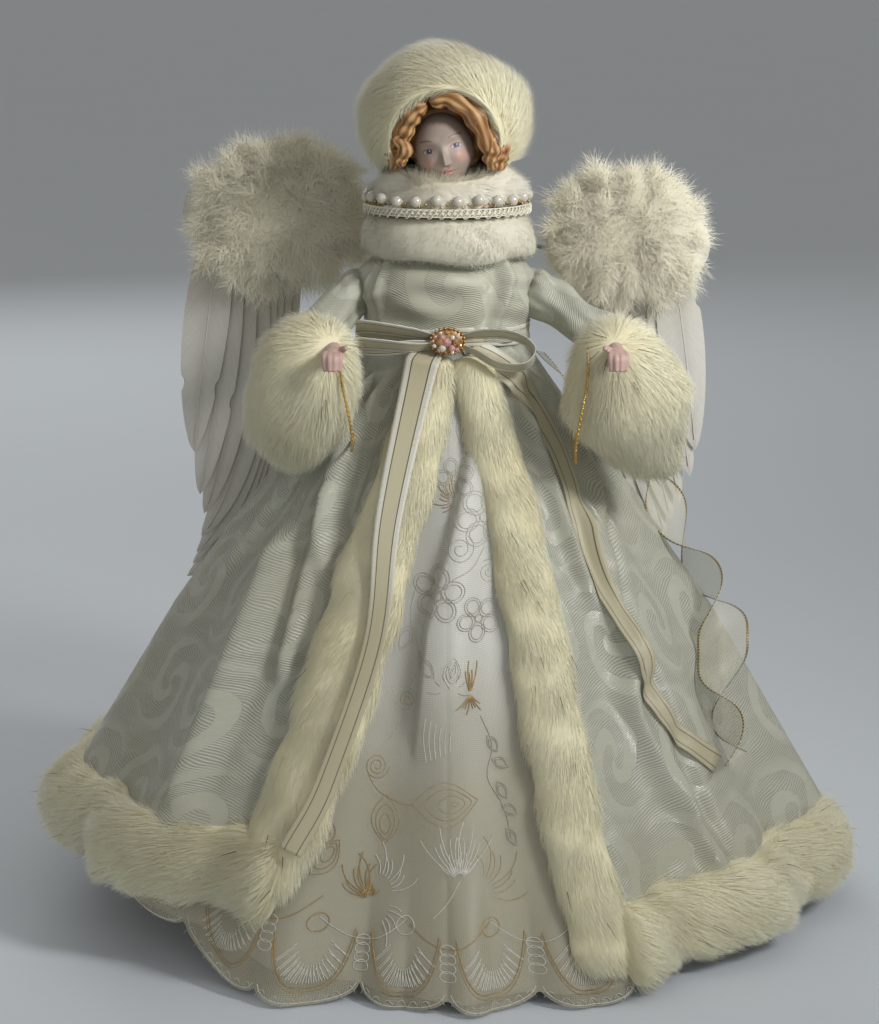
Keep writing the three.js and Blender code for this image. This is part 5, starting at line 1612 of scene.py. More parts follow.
# Locks: thickness at the start, middle and end, then knots in the front view with depth
LOCKS = (
    ((3.6, 4.6, 3.4), [
        (-6.6, -22.6, 360.5), (0.5, -23.6, 362.0), (8.0, -22.8, 357.5), (12.6, -21.4, 350.0),
        (14.6, -19.0, 341.5),
    ]),
    ((3.4, 4.8, 3.8), [
        (-5.8, -21.2, 363.4), (3.5, -21.2, 365.4), (12.4, -19.0, 360.5), (17.2, -17.4, 351.5),
        (18.6, -15.4, 340.0),
    ]),
    ((3.0, 3.6, 2.4), [
        (13.4, -20.6, 348.0), (16.0, -19.6, 344.2), (15.4, -18.6, 340.2), (16.6, -16.6, 336.6),
    ]),
    ((3.2, 3.8, 2.6), [
        (18.0, -16.4, 349.0), (19.4, -15.0, 343.8), (18.4, -14.2, 339.4), (19.2, -12.4, 335.4),
    ]),
    ((3.2, 4.0, 3.0), [
        (-7.4, -22.4, 360.2), (-11.6, -22.0, 357.6), (-14.6, -19.8, 351.6), (-16.2, -17.6, 345.6),
    ]),
    ((3.2, 4.4, 3.4), [
        (-7.2, -20.6, 362.8), (-13.6, -19.4, 360.2), (-18.2, -16.8, 353.2), (-19.4, -14.6, 345.0),
    ]),
    ((2.8, 3.4, 2.4), [
        (-14.8, -19.8, 350.6), (-17.2, -18.2, 347.4), (-15.4, -18.8, 343.8), (-16.8, -17.0, 340.2),
        (-16.0, -16.2, 337.2),
    ]),
    ((3.0, 3.8, 2.6), [
        (-18.6, -15.6, 348.6), (-20.2, -14.2, 344.2), (-18.8, -14.0, 340.2), (-19.4, -12.4, 336.2),
    ]),
    ((3.4, 4.6, 3.6), [
        (-5.6, -15.0, 366.6), (-15.0, -12.4, 363.0), (-20.4, -9.0, 353.0), (-21.6, -7.0, 342.0),
    ]),
    ((3.4, 4.6, 3.6), [
        (-4.6, -15.6, 368.2), (6.0, -14.4, 369.0), (16.4, -11.2, 362.0), (21.2, -8.4, 351.0),
        (22.0, -7.0, 340.0),
    ]),
)


def face_ink(at, skin):
    """Colours of the painted face, for points on the untilted head."""
    x, y, z = at.T
    ax = np.abs(x)
    ink = np.tile(skin, (len(at), 1))

    def wash(amount, tint):
        amount = np.clip(amount * (y < -2), 0, 1)[:, None]
        ink[:] = ink * (1 - amount) + np.array(tint) * amount

    def dot(across, up, wide, high, soft):
        return smooth(1 - (across / wide) ** 2 - (up / high) ** 2, 0, soft)

    def arch(wide):
        return np.sqrt(np.clip(1 - ((ax - 6.1) / wide) ** 2, 0, 1))

    # Cheeks and the shade over the eyes
    wash(0.5 * bump_at(ax, 7.6, 3.0) * bump_at(z, -2.6, 2.6), (0.66, 0.30, 0.25))
    wash(0.30 * bump_at(z, 4.4, 1.3) * bump_at(ax, 6.2, 3.0), (0.50, 0.34, 0.30))
    # Eyes: white, iris, pupil, glint, lashes, lids and inner corners
    eye_z = 2.3 - 0.06 * (ax - 6.1) ** 2
    gaze = x - 0.25 - np.sign(x) * 6.05
    white = dot(ax - 6.1, z - eye_z, 2.3, 0.95, 0.25)
    wash(white * 0.8, (0.60, 0.58, 0.57))
    wash(dot(gaze, z - eye_z - 0.10, 1.5, 1.5, 0.35) * smooth(white, 0.05, 0.4), (0.035, 0.030, 0.10))
    wash(dot(gaze, z - eye_z - 0.10, 0.5, 0.5, 0.4), (0.008, 0.006, 0.012))
    wash(dot(gaze - 0.30, z - eye_z - 0.42, 0.26, 0.26, 0.5), (0.9, 0.9, 0.9))
    lash = eye_z + 1.0 * arch(2.6)
    on_eye = smooth(2.75 - np.abs(ax - 6.1), 0.0, 0.35)
    wash(bump_at(z, lash, 0.24) * on_eye * 0.95, (0.07, 0.035, 0.02))
    wash(bump_at(z, lash + 0.75, 0.16) * on_eye * 0.5, (0.34, 0.16, 0.11))
    wash(bump_at(z, eye_z - 0.92 * arch(2.5), 0.13) * on_eye * 0.55, (0.22, 0.11, 0.08))
    wash(dot(ax - 4.0, z - 2.2, 0.32, 0.3, 0.4) * 0.7, (0.55, 0.18, 0.14))
    # Brows, nostrils and lips
    brow_z = 6.1 + 0.85 * (1 - ((ax - 6.4) / 3.4) ** 2)
    brow = bump_at(z, brow_z, 0.26) * smooth(3.4 - np.abs(ax - 6.4), 0.0, 1.2)
    wash(brow * 0.95, (0.09, 0.05, 0.03))
    wash(dot(ax - 1.15, z + 5.35, 0.34, 0.22, 0.5) * 0.8, (0.45, 0.14, 0.11))
    bow = -6.95 + 0.28 * bump_at(ax, 0.9, 0.7) - 0.07 * ax**2
    upper = smooth(bow + 0.12 - z, 0, 0.3) * smooth(z + 8.3, 0, 0.15) * smooth(2.9 - ax, 0, 0.5)
    wash(upper * 0.85, (0.52, 0.16, 0.15))
    lower = smooth(z + 9.75 - 0.22 * ax**2, 0, 0.35) * smooth(-8.25 - z, 0, 0.12) * smooth(2.4 - ax, 0, 0.5)
    wash(lower * 0.8, (0.58, 0.22, 0.20))
    wash(bump_at(z, -8.27, 0.12) * smooth(3.0 - ax, 0, 0.6) * 0.9, (0.24, 0.05, 0.05))
    return ink


class TOPPER_OT_head(bpy.types.Operator):
    """Makes the bisque head with its painted face and moulded hair"""

    bl_idname = "topper.head"
    bl_label = "Head"

    def execute(self, context):
        mesh = surface(170, 140, self.face)
        paint(mesh, "face_paint", face_ink((read_points(mesh) - FACE_AT) @ HEAD_TURN, np.array(tones().skin)))
        painted = bisque_finish("Painted bisque", "face_paint")
        add_piece("bisque_face", mesh, painted, "porcelain_head")
        neck = surface(64, 60, self.neck, (0, 0, 315))
        add_piece("bisque_neck", neck, bisque_finish("Plain bisque"))
        # Hair: a moulded cap under locks that leave a parting left of the middle
        hair = hair_finish("Moulded hair")
        add_piece("hair_cap", surface(90, 60, self.cap), hair)
        for number, (thickness, knots) in enumerate(LOCKS):
            add_piece(f"hair_roll_{number + 1}", self.lock(number, thickness, knots), hair)
        return {"FINISHED"}

    def face(self, u, v):
        t = 2 * u - 1
        east = np.pi * np.sign(t) * np.abs(t) ** 1.5
        north = np.pi * (v - 0.5)
        y = -15.5 * np.cos(north) * np.cos(east)
        z = 16.5 * np.sin(north)
        jaw = 1 - 0.20 * smooth(-z, 3.0, 14.0)
        x = 13.2 * np.cos(north) * np.sin(east) * jaw
        ax = np.abs(x)
        bridge = smooth(z, -5.4, -4.4) * smooth(-z, -6.0, 3.5)
        lift = (0.7 + 2.9 * smooth(-z, -5.0, 4.4)) * bridge * bump_at(ax, 0.0, 1.35)
        for rise, up, tall, across, wide in FEATURES:
            lift += rise * bump_at(z, up, tall) * bump_at(ax, across, wide)
        return points(x, y - lift * smooth(-y, 1.0, 7.0), z) @ HEAD_TURN.T + FACE_AT

    def neck(self, u, v):
        """The neck and the shoulder plate."""
        profile = [
            (5.4, 298.6), (21.4, 298.6), (21.6, 300.4), (12.5, 305.5), (9.0, 312.0), (8.7, 322), (9.5, 332.0),
            (5.4, 336),
        ]
        radius, z = spline(profile, v).T
        return ring_point(TAU * u, radius, z, 1.0)

    def cap(self, u, v):
        angle, north = TAU * u, np.pi * (v - 0.5)
        crest = 1 + 0.02 * np.sin(9 * angle + 6 * north)
        x = 19.6 * crest * np.cos(north) * np.sin(angle)
        y = 19.4 * crest * np.cos(north) * np.cos(angle) * np.where(np.cos(angle) < 0, 0.62, 1.0)
        return points(x - 0.5, y - 1.5, 349.5 + 19.0 * crest * np.sin(north))

    def lock(self, number, thickness, knots):
        knots = (np.array(knots) - HAIR_MIDDLE) * HAIR_FULLNESS + HAIR_MIDDLE

        def line(u):
            at, ahead = spline(knots, u), heading(knots, u)
            across = unit(np.cross(ahead, unit(at - [0, -2.0, 349.0])))
            return at, across, unit(np.cross(across, ahead))

        def thick(u, turn):
            wave = 1 + 0.13 * np.sin(24 * u + 2.3 * number) + 0.07 * np.cos(5 * turn + 15 * u)
            wave = wave + 0.04 * np.cos(13 * turn - 6 * u)
            return np.interp(u, [0, 0.5, 1], thickness) * wave

        return roll_mesh(48, 40, line, thick, thick, 0.16)


class TOPPER_OT_hat(bpy.types.Operator):
    """Makes the fur hat"""

    bl_idname = "topper.hat"
    bl_label = "Fur hat"

    def execute(self, context):
        middle = np.array([-1.2, 3.0, 355.0])
        radii = np.array([36.5, 36.5, 30.5])
        opening = np.array([-1.5, -30.0, 344.0])
        # Where the widest ring is, as a share of the way from the brim to the back
        crown = 0.55

        def hat(u, v):
            turn = TAU * u
            s, c = np.sin(turn), np.cos(turn)
            # The opening round the face and the widest ring, in shares of the radii
            brim = (points(opening[0] + 22.4 * s, opening[2] + 22.6 * c) - middle[[0, 2]]) / radii[[0, 2]]
            ring = points(s, c)
            forward = v < crown
            rise = np.sin(np.pi / 2 * np.clip(v / crown, 0, 1))
            close = np.cos(np.pi / 2 * np.clip((v - crown) / (1 - crown), 0, 1))
            flat = np.where(forward[:, None], lerp(brim, ring, rise[:, None]), ring * close[:, None])
            depth = np.sqrt(np.clip(1 - (flat**2).sum(axis=1), 0, 1)) * np.where(forward, -1, 1)
            at = points(flat[:, 0], depth, flat[:, 1]) * radii + middle
            lump = 0.8 * np.sin(3 * turn + 5 * v) + 0.5 * np.sin(5 * turn - 8 * v)
            at = at + unit(at - middle) * (lump * smooth(v, 0.02, 0.2) * smooth(1 - v, 0.0, 0.25))[:, None]
            at[:, 1] += 8.0 * smooth(0.05 - v, 0.0, 0.05)
            at[:, 2] = np.maximum(at[:, 2], 334.6)
            return at

        def rim(at):
            reach = np.linalg.norm((at - opening) * [1, 0, 1], axis=1)
            return smooth(27.0 - reach, 0.0, 4.0) * (at[:, 1] < -8)

        def swept(at):
            """Over the top from left to right, then down both sides, the rim turned in round the face."""
            way = (at - opening) * [1, 0, 1]
            away = unit(way)
            spin = unit(np.cross(way, [0, -1.0, 0]))
            right = smooth(at[:, 0], -24, 16)[:, None]
            brushed = lerp(away * 0.6 + [-0.1, 0.2, -0.75], -spin + away * 0.25 + [0.2, 0.2, 0], right)
            return lerp(brushed, brushed * 0.4 - away * 0.7 + [0, -0.35, 0], rim(at)[:, None])

        def clear(at, out):
            low_front = (at[:, 2] < 335.4) & (at[:, 1] < 8)
            inside = (np.hypot(at[:, 0] - opening[0], at[:, 2] - opening[2]) < 20.0) & (at[:, 1] < 0)
            return ~(low_front | inside)

        pelt = surface(110, 66, hat, (0, 3, 352))
        fur_piece(
            "hat", pelt, "fur_hat", 42000, context.scene.topper_fur.hat_pile, swept, clear,
            seed=61, lift=0.40, clump=0.16, loose=0.08, wide=0.19, cut=lambda at: 1 - 0.6 * rim(at),
        )
        return {"FINISHED"}


# Waist ribbon, bow and ribbons

BOW_HEART = (0, 0, BOW_Z)
# Bow loops: each ribbon leaves the knot, turns back at its reach and comes home. Knots, then the way that
# its width lies at the start and at the end
BOW_LOOPS = {
    "bow_loop_left_1": ([
        (-3, -35, 262.5), (-13, -39, 265), (-26, -42, 267.5), (-37, -41, 268.5), (-39, -37, 266.5),
        (-28, -36, 264.5), (-14, -35.5, 263), (-3, -34.5, 262),
    ], (0.1, -0.75, 0.65), (0.0, -0.55, 0.85)),
    "bow_loop_left_2": ([
        (-3, -36, 260.5), (-14, -41, 259.5), (-27, -44.5, 261), (-38, -43, 261.5), (-40, -39.5, 259.5),
        (-29, -38.5, 258.5), (-14, -37, 259.5), (-3, -35.5, 260.5),
    ], (0.1, -0.8, 0.6), (0.0, -0.6, 0.8)),
    "bow_loop_right_1": ([
        (3, -35, 262.5), (13, -38, 265), (25, -41, 265.5), (34, -42, 262.5), (38, -42, 257), (33, -43, 251.5),
        (22, -42.5, 252), (12, -39, 257), (3, -35.5, 261),
    ], (-0.1, -0.8, 0.6), (0.1, -0.88, 0.48)),
}
# Tails: knots in the front view, the width left at the end, where the edges' painted reflection stops and
# they turn tan, and what is underneath
BOW_TAILS = {
    "left": (
        [(-6, 259), (-9, 246), (-20, 190), (-27, 140), (-44, 90), (-58, 63)], 0.85, 0.45, "front_trim_left"
    ),
    "right": (
        [(10, 257), (24, 247), (48, 212), (62, 160), (86, 110), (115, 81)], 0.66, 0.12, "robe_right"
    ),
}


def turned_uv(mesh):
    """Swaps the map's axes, so that its first runs across the ribbon."""
    layer = mesh.uv_layers["UVMap"].data
    flat = np.empty(2 * len(layer), np.float32)
    layer.foreach_get("uv", flat)
    layer.foreach_set("uv", flat.reshape(-1, 2)[:, ::-1].ravel().copy())
    return mesh


class TOPPER_OT_waist_bow(bpy.types.Operator):
    """Makes the waist ribbon, its bow and the two tails"""

    bl_idname = "topper.waist_bow"
    bl_label = "Waist ribbon and bow"

    def execute(self, context):
        wide = context.scene.topper_gown.ribbon_width / MM
        ribbon = ribbon_finish("Pinstripe ribbon")

        def sash(u, v):
            angle = TAU * u
            z = 257.6 + (wide - 1.6) * v
            radius = lerp(36.0, 37.0, v) + 0.3 * np.sin(21 * angle + 3 * v)
            return ring_point(angle, radius, z + 0.5 * np.sin(5 * angle), BODY_DEPTH)

        def tie(u, v):
            turn = TAU * v
            side = lerp(-1, 1, u)
            pinch = 1 - 0.22 * (1 - side**2)
            crease = 0.25 * np.cos(7 * turn + 2 * side)
            y = -34.6 + (3.0 + crease) * np.cos(turn)
            return points(5.0 * side, y, BOW_Z + (4.8 + crease) * pinch * np.sin(turn))

        add_cloth(
            "waist_sash", turned_uv(surface(160, 10, sash, BOW_HEART)), ribbon, "waist_ribbon",
            (215, 10), wall=0.4,
        )
        for name, shape in BOW_LOOPS.items():
            stands_for = name[:-2] if name.endswith("_1") else None
            add_cloth(
                name, self.loop(wide, *shape), ribbon, stands_for,
                (10, 86), wall=0.3,
            )
        add_cloth(
            "bow_tie", surface(20, 48, tie, (0, -34.6, BOW_Z)), ribbon, "bow_knot",
            (10, 26),
        )
        for name, (knots, slim, edge_shine_end, under) in BOW_TAILS.items():
            fading = ribbon_finish(f"Pinstripe ribbon {name} tail", edge_shine_end)
            mesh = self.tail(name, wide, knots, slim)
            add_cloth(
                f"bow_tail_{name}", mesh, fading, f"ribbon_tail_{name}",
                (10, 250), share=lerp(1.0, slim, 0.7), wall=0.3,
            )
        return {"FINISHED"}

    def loop(self, wide, knots, first, last):
        def place(u, v):
            edge = (u - 0.5) * wide * np.interp(v, [0, 0.15, 0.5, 0.85, 1], [0.35, 0.85, 1.0, 0.85, 0.35])
            way = unit(lerp(np.array(first), np.array(last), smooth(v)[:, None]))
            return spline(knots, v) + way * edge[:, None]

        return surface(10, 90, place, BOW_HEART)

    def tail(self, name, wide, knots, slim):
        """The left tail rides over the fur, and the right one lies on the robe's folds."""

        def place(u, v):
            at, ahead = spline(knots, v), heading(knots, v, 0.01)
            across = (u - 0.5) * wide * lerp(1.0, slim, smooth(v, 0.1, 0.5))
            x = at[:, 0] - ahead[:, 1] * across
            z = np.minimum(at[:, 1] + ahead[:, 0] * across, WAIST_Z + 2)
            angle = angle_at(x, z)
            if name == "left":
                rise = lerp(5.0, 15.5 + 0.7 * np.sin(20 * v), smooth(v, 0.0, 0.14))
                rise = rise + (u - 0.5) * 2.0 * np.sin(11 * v + 1)
            else:
                middle_z = np.minimum(at[:, 1], WAIST_Z)
                middle = robe_out(name, angle_at(at[:, 0], middle_z), middle_z)
                rise = np.maximum(robe_out(name, angle, z), middle) + 1.4 + 0.8 * np.sin(9 * v + 0.5)
            return skirt_point(angle, z, rise)

        return surface(10, 120, place, (0, 0, 100))


class TOPPER_OT_brooch(bpy.types.Operator):
    """Makes the brooch at the waist"""

    bl_idname = "topper.brooch"
    bl_label = "Brooch"

    def execute(self, context):
        heart = np.array([0.0, -40.0, BOW_Z])
        wide, high = 7.4, 5.6
        rng = np.random.default_rng(71)

        def setting(bm):
            spot = Matrix.Translation(Vector((heart + [0, 1.2, 0]) * MM))
            spot = spot @ Matrix.Diagonal((wide * MM, 1.6 * MM, high * MM, 1))
            bmesh.ops.create_uvsphere(bm, u_segments=36, v_segments=18, radius=1.0, matrix=spot)
            for turn in TAU * np.arange(22) / 22:
                ball(bm, heart + [wide * np.cos(turn), 0.6, high * np.sin(turn)], 0.8)

        gilt = gilt_finish("Brooch gilt", (0.50, 0.28, 0.10))
        add_piece("brooch_mount", joined_mesh(setting), gilt, "brooch_setting")

        # Stones: x, z and radius of one in the middle and of two rings round it
        spots = [(0, 0, 2.3)]
        spots += [(3.6 * np.cos(a), 2.7 * np.sin(a), 1.7) for a in np.linspace(0, TAU, 7)[:-1]]
        spots += [(5.9 * np.cos(a), 4.4 * np.sin(a), 1.05) for a in np.linspace(0.2, TAU + 0.2, 14)[:-1]]
        finishes = [
            stone_finish("Rose stone", (0.66, 0.36, 0.33)),
            stone_finish("Amber stone", (0.46, 0.24, 0.10)),
            pearl_finish("Seed pearl"),
        ]
        for kind, material in enumerate(finishes):

            def stones(bm):
                for x, z, radius in spots[kind::len(finishes)]:
                    at = heart + [x, -1.4 - 0.5 * (1.9 - 0.1 * abs(x)), z] + rng.uniform(-0.4, 0.4, 3)
                    radius *= rng.uniform(0.65, 1.05)
                    turn = Matrix.Rotation(rng.uniform(0, TAU), 4, "Y")
                    ball(bm, at, radius, squash=(1, 0.8, 1), turn=turn)

            mesh = joined_mesh(stones)
            # Cut stones keep flat facets, and the pearls are round
            for face in mesh.polygons:
                face.use_smooth = kind == 2
            stands_for = "brooch_stones" if kind == 0 else None
            add_piece(f"brooch_gems_{kind + 1}", mesh, material, stands_for)
        return {"FINISHED"}


class TOPPER_OT_side_ribbons(bpy.types.Operator):
    """Makes the wide wired ribbons at the sides"""

    bl_idname = "topper.side_ribbons"
    bl_label = "Side ribbons"

    def execute(self, context):
        wired = wired_ribbon_finish("Wired sheer ribbon")
        # Each ribbon's angles from the front, at its top and at its end
        for name, (begin, end) in {"left": (138, 116), "right": (112, 60)}.items():
            mesh = self.ribbon(SIDES[name], begin, end)
            add_cloth(
                f"wired_ribbon_{name}", mesh, wired, f"side_ribbon_{name}",
                (24, 235), wall=0.3,
            )
        return {"FINISHED"}

    def ribbon(self, side, begin, end):
        def place(u, v):
            angle = side * np.radians(lerp(begin, end, v))
            settle = np.minimum(1, 4 * v)
            at, around, _, out = skirt_frame(angle, lerp(WAIST_Z - 9, 84, v), 7.0 + 6.0 * settle)
            twist = settle * 1.05 * np.sin(TAU * 3 * v)
            across = around * np.cos(twist)[:, None] + out * np.sin(twist)[:, None]
            half = 12 * (0.3 + 0.7 * settle) * (2 * u - 1)
            wave = 1.2 * np.sin(TAU * 3 * v + 0.8) * settle
            return at + across * half[:, None] + out * wave[:, None]

        return surface(24, 150, place, (0, 0, 160))


class TOPPER_OT_cuffs(bpy.types.Operator):
    """Makes the fur cuffs, their braid and the bisque hands"""

    bl_idname = "topper.cuffs"
    bl_label = "Cuffs and hands"

    def execute(self, context):
        for name, side in SIDES.items():
            middle, radii, hand_x = CUFFS[name]
            self.cuff(name, side, middle, radii, hand_x, context.scene.topper_fur.cuff_pile)
            self.braid(name, side, middle, radii)
            self.hand(name, side, np.array([hand_x, -66.0, HAND_Z]))
        return {"FINISHED"}

    def cuff(self, name, side, middle, radii, hand_x, pile):
        hand = np.array([hand_x, -74.0, HAND_Z])

        def place(u, v):
            way = globe(u, v)
            at = way * (radii - [4.5, 6.0, 5.5]) + middle
            soft = ripple(at, 30.0, 81 + side)[:, 0] * 1.5
            # Full at the top beside the sleeve, hanging outwards below
            shoulder = np.maximum(0, way @ unit(np.array([-side * 0.7, -0.1, 0.7]))) ** 3
            hang = (9.0 if side > 0 else 4.0) * np.maximum(0, -way[:, 2]) ** 1.5
            return at + way * (soft + 5.0 * shoulder)[:, None] + points(side * hang, 0.0, 0.0)

        fur_piece(
            f"cuff_{name}", surface(90, 60, place), f"fur_cuff_{name}", 30000, pile,
            lambda at: unit(at - hand) * 0.7 + [side * 0.25, 0, -0.6],
            lambda at, out: np.linalg.norm((at - hand) * [1, 0.6, 1], axis=1) > 3.6,
            seed=83 + side, body=f"{name}_arm", lift=0.34, clump=0.24, droop=0.12, wide=0.20, loose=0.09,
        )

    def braid(self, name, side, middle, radii):
        """Fine cords twisted round each other, with beads, in the fur of the cuff's inner side."""
        gilt = gilt_finish("Gilt braid")
        share = np.sqrt(1 - (BRAID_INSET / radii[0]) ** 2)
        deep, high = radii[1] * share + 0.6, radii[2] * share + 0.2

        def ring(turn, shift=0.0, grow=0.0):
            inset = -side * (BRAID_INSET - 2.6 * np.sin(turn) - 0.8 * np.sin(3 * turn))
            return middle + points(inset + shift, (deep + grow) * np.cos(turn), (high + grow) * np.sin(turn))

        t = np.linspace(0, TAU, 420, endpoint=False)
        cords = []
        for phase in (0, TAU / 3, 2 * TAU / 3):
            twist = 60 * t + phase
            cords.append((ring(t, 0.3 * np.sin(twist), 0.3 * np.cos(twist)), True))

        def beads(bm):
            for at in ring(np.linspace(0, TAU, 72, endpoint=False)):
                ball(bm, at, 0.75)

        body = f"{name}_arm"
        mesh = thread_mesh(cords, 0.28)
        add_piece(f"cuff_braid_cords_{name}", mesh, gilt, f"cuff_braid_{name}", body)
        add_piece(f"cuff_beads_{name}", joined_mesh(beads), gilt, body=body)

    def hand(self, name, side, wrist):
        """A palm, four fingers and a thumb run together."""

        def fingers(bm):
            def limb(sizes, *knots):
                for t in np.linspace(0, 1, 18):
                    radius = np.interp(t, np.linspace(0, 1, len(sizes)), sizes)
                    ball(bm, spline(knots, t), radius, detail=3)

            limb([3.4, 3.2], wrist + [0, 3, 0], wrist + [0, -4, 0])
            ball(bm, wrist + [0, -8, 0], 4.2, squash=(1.0, 1.45, 0.7), detail=3)
            for place in (-1.5, -0.5, 0.5, 1.5):
                root = wrist + [place * 2.1, -11.5, 0.4]
                bend = wrist + [place * 2.2, -16.5 + abs(place), -0.6]
                tip = wrist + [place * 2.0, -17.6 + 1.2 * abs(place), -5.4]
                limb([1.5, 1.35, 1.05], root, bend, tip)
            thumb = wrist + [-side * 2.6, -7.0, 0.8]
            limb([1.7, 1.4, 1.0], thumb, thumb + [-side * 2.4, -3.0, 1.8], thumb + [-side * 3.0, -6.2, 2.2])

        rosy = bisque_finish("Rosy bisque", None, (0.54, 0.38, 0.34))
        mesh = blended_mesh(joined_mesh(fingers), 0.42)
        add_piece(f"hand_{name}", mesh, rosy, f"porcelain_hand_{name}", f"{name}_arm")


# Wings

# Each heart of down: its middle and its half sizes
MARABOU = {
    "left": (np.array([-75.0, 44.0, 309.0]), np.array([51.0, 15.0, 45.0])),
    "right": (np.array([81.5, 44.0, 300.5]), np.array([44.0, 15.0, 38.0])),
}
# Each feather's tip, from the outermost inwards: x and z, the way it points and its half width
FEATHER_TIPS = {
    "left": [
        (118.5, 197, 6, 11.5), (116.5, 176, 13, 10.0), (115.0, 166, 22, 9.5), (117.0, 154, 38, 9.0),
        (120.0, 145, 45, 8.5), (122.5, 138, 50, 8.0), (126.0, 130, 54, 8.0), (126.0, 123, 56, 7.5),
    ],
    "right": [
        (116.5, 198, 6, 11.5), (114.5, 185, 10, 10.0), (110.0, 172, 13, 9.5), (106.5, 163, 16, 9.0),
        (104.0, 156, 20, 8.5), (104.0, 150, 26, 8.0), (106.0, 144, 32, 8.0), (108.0, 139, 38, 7.5),
    ],
}
# The height of the outermost root, and how far the innermost tip bends back to clear the skirt
FEATHER_TOP = {"left": 309.0, "right": 293.0}
FEATHER_BEND = {"left": 30.0, "right": 12.0}
# Which feather of the frame some of these stand for
FEATHER_NODES = {0: 1, 2: 2, 4: 3, 6: 4, 7: 5}


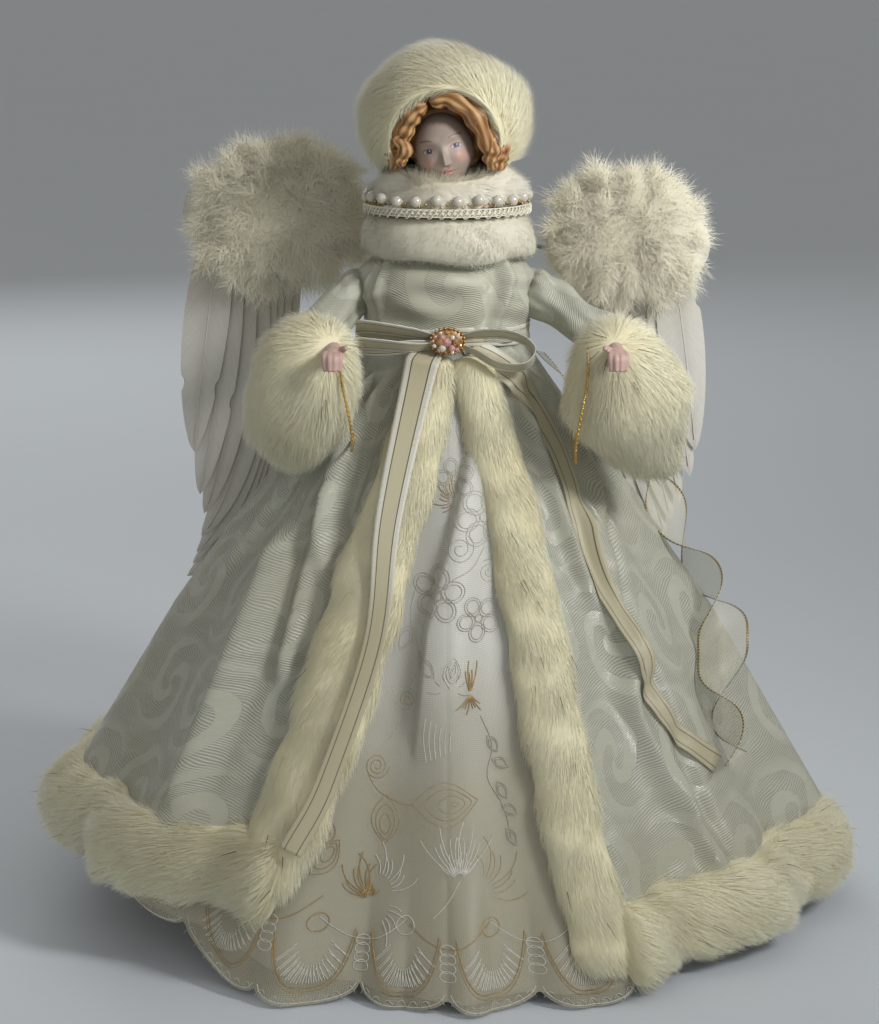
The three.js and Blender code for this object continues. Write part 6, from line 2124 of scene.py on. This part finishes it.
class TOPPER_OT_wings(bpy.types.Operator):
    """Makes the wings' marabou and long feathers"""

    bl_idname = "topper.wings"
    bl_label = "Wings"

    def execute(self, context):
        for name, side in SIDES.items():
            self.marabou(name, side)
            for number in range(len(FEATHER_TIPS[name])):
                self.feather(name, side, number)
        return {"FINISHED"}

    def marabou(self, name, side):
        """A padded heart under plumes of down, each a soft shaft with barbs that droop on both sides."""
        fluff = fur_finish("Marabou", tones().marabou, (0.88, 0.82, 0.62), 0.3, 0.9998)
        body = f"{name}_wing"
        rng = np.random.default_rng(91 + side)
        middle, half = MARABOU[name]

        def pad(u, v):
            way = globe(u, v)
            at = way * half * (0.74 + 0.07 * ripple(way * 30, 30.0, 95)[:, :1])
            at[:, 1] = np.minimum(at[:, 1], 0.0)
            return at + middle

        pelt = surface(60, 40, pad)

        plumes, barbs, loose = 140, 180, 22000
        turn = rng.uniform(0, TAU, plumes)
        reach = rng.uniform(0.15, 1.0, plumes) ** 0.7
        spoke = points(np.cos(turn) * reach, -np.sqrt(1 - 0.8 * reach**2), np.sin(turn) * reach)
        seat = middle + spoke * half * [0.66, 0.8, 0.66]
        lean = points(np.cos(turn), -0.45 * (1 - reach) - 0.1, np.sin(turn))
        way = unit(lean + rng.normal(scale=0.3, size=(plumes, 3)))
        shaft = rng.uniform(5.0, 15.0, plumes)
        across = unit(np.cross(way, unit(rng.normal(scale=0.6, size=(plumes, 3)) + [0, -1.0, 0.2])))

        which = np.repeat(np.arange(plumes), barbs)
        count = len(which)
        along = rng.random(count)
        hand = np.where(rng.random(count) < 0.5, -1.0, 1.0)[:, None]
        stray = rng.normal(size=(count + loose, 3))
        sag = [0, 0, -1.0] * (3.0 * along**2)[:, None]
        root = seat[which] + way[which] * (shaft[which] * along)[:, None] + sag + stray[:count] * 1.2
        begin = way[which] * 0.8 + across[which] * hand * 0.6
        finish = way[which] * 0.8 + across[which] * hand * 0.3
        # Loose down all over the heart fills the gaps between the plumes
        spot, out = scatter(pelt, loose, rng)
        root = np.vstack([root, spot - out * 0.5])
        begin = unit(np.vstack([begin, out * 0.9]) + stray * 0.4)
        finish = unit(np.vstack([finish, out * 0.6]) + rng.normal(scale=0.8, size=stray.shape) + [0, 0, -0.4])
        long = rng.uniform(6.0, 14.0, count + loose) * np.append(1.05 - 0.35 * along, np.full(loose, 0.9))
        look = unit(unit((root - middle) / half**2) * 0.7 + [0, -0.6, 0.4] + stray * 0.1)
        wide = rng.uniform(0.09, 0.18, count + loose)
        mesh = strands_mesh(root, look, begin, finish, long, wide, rng.random(count + loose))
        add_piece(f"marabou_{name}_fluff", mesh, fluff, body=body)
        flat_strand_layer(pelt, 0.4, 0.6)
        skin = add_piece(f"marabou_{name}_quills", pelt, fluff, f"marabou_{name}", body)

    def feather(self, name, side, number):
        """A long feather, over the next one inwards, that curves out to a pointed tip."""
        tip_x, tip_z, lean, half_width = FEATHER_TIPS[name][number]
        share = number / (len(FEATHER_TIPS[name]) - 1)
        root = np.array([side * lerp(103, 70, share), FEATHER_TOP[name] - 16 * share])
        tip = np.array([side * tip_x, tip_z])
        lean = np.radians(lean)
        bend = tip + np.array([-side * np.sin(lean), np.cos(lean)]) * 52

        def line(t):
            t = t[:, None]
            return root * (1 - t) ** 2 + bend * 2 * t * (1 - t) + tip * t**2

        def depth(t):
            return lerp(45.0, 49.4, share) + FEATHER_BEND[name] * share**1.5 * t**2.5

        def vane(u, v):
            across = 2 * u - 1
            ahead = unit((bend - root) * (1 - v)[:, None] + (tip - bend) * v[:, None])
            full = np.sin(np.pi * np.clip(0.10 + 0.90 * v, 0, 1)) ** 0.55
            half = half_width * np.where(across < 0, 1.0, 0.85) * full
            split = 1 - 0.16 * bump_at(np.sin(9 * v + number + 5 * side), 1.0, 0.03) * np.abs(across) ** 3
            flat = points(-ahead[:, 1], ahead[:, 0]) * (across * half * split)[:, None]
            spot = line(v) + flat - ahead * (5.5 * across**2 * full * v)[:, None]
            cup = 0.6 * (1 - across**2) * full - 1.8 * side * across * full
            return points(spot[:, 0], depth(v) - cup, spot[:, 1])

        t = np.linspace(0, 0.95, 30)
        spot = line(t)
        shaft = [(points(spot[:, 0], depth(t) - 0.55, spot[:, 1]), False)]
        body = f"{name}_wing"
        node = FEATHER_NODES.get(number)
        stands_for = f"feather_{name}_{node}" if node else None
        plume = surface(16, 60, vane, (0, 400, 280))
        goose, horn = feather_finish("Goose feather"), quill_finish("Feather shaft")
        add_piece(f"plume_{name}_{number + 1}", plume, goose, stands_for, body)
        add_piece(f"quill_{name}_{number + 1}", thread_mesh(shaft, 0.32), horn, body=body)


class TOPPER_PT_panel(bpy.types.Panel):
    """Lists the pieces of the topper and their settings"""

    bl_idname = "TOPPER_PT_panel"
    bl_label = "Angel Tree Topper"
    bl_space_type = "VIEW_3D"
    bl_region_type = "UI"
    bl_category = "Topper"

    def draw(self, context):
        layout = self.layout
        for step in STEPS:
            layout.operator(step.bl_idname)
        for group in (context.scene.topper_gown, context.scene.topper_fur, context.scene.topper_colours):
            box = layout.box()
            for key in group.bl_rna.properties.keys():
                if key not in {"rna_type", "name"}:
                    box.prop(group, key)


STEPS = (
    TOPPER_OT_stage,
    TOPPER_OT_inner_frame,
    TOPPER_OT_petticoats,
    TOPPER_OT_apron,
    TOPPER_OT_robe,
    TOPPER_OT_fur_trims,
    TOPPER_OT_bodice,
    TOPPER_OT_collar,
    TOPPER_OT_head,
    TOPPER_OT_hat,
    TOPPER_OT_waist_bow,
    TOPPER_OT_brooch,
    TOPPER_OT_side_ribbons,
    TOPPER_OT_cuffs,
    TOPPER_OT_wings,
)
GROUPS = {
    "topper_fur": TopperFurSettings,
    "topper_gown": TopperGownSettings,
    "topper_colours": TopperColourSettings,
}


def register():
    for cls in (*GROUPS.values(), *STEPS, TOPPER_PT_panel):
        bpy.utils.register_class(cls)
    for key, cls in GROUPS.items():
        setattr(bpy.types.Scene, key, PointerProperty(type=cls))


def unregister():
    for key in GROUPS:
        delattr(bpy.types.Scene, key)
    for cls in reversed((*GROUPS.values(), *STEPS, TOPPER_PT_panel)):
        bpy.utils.unregister_class(cls)


def main():
    register()
    for step in STEPS:
        group, name = step.bl_idname.split(".")
        getattr(getattr(bpy.ops, group), name)()


if __name__ == "__main__":
    main()
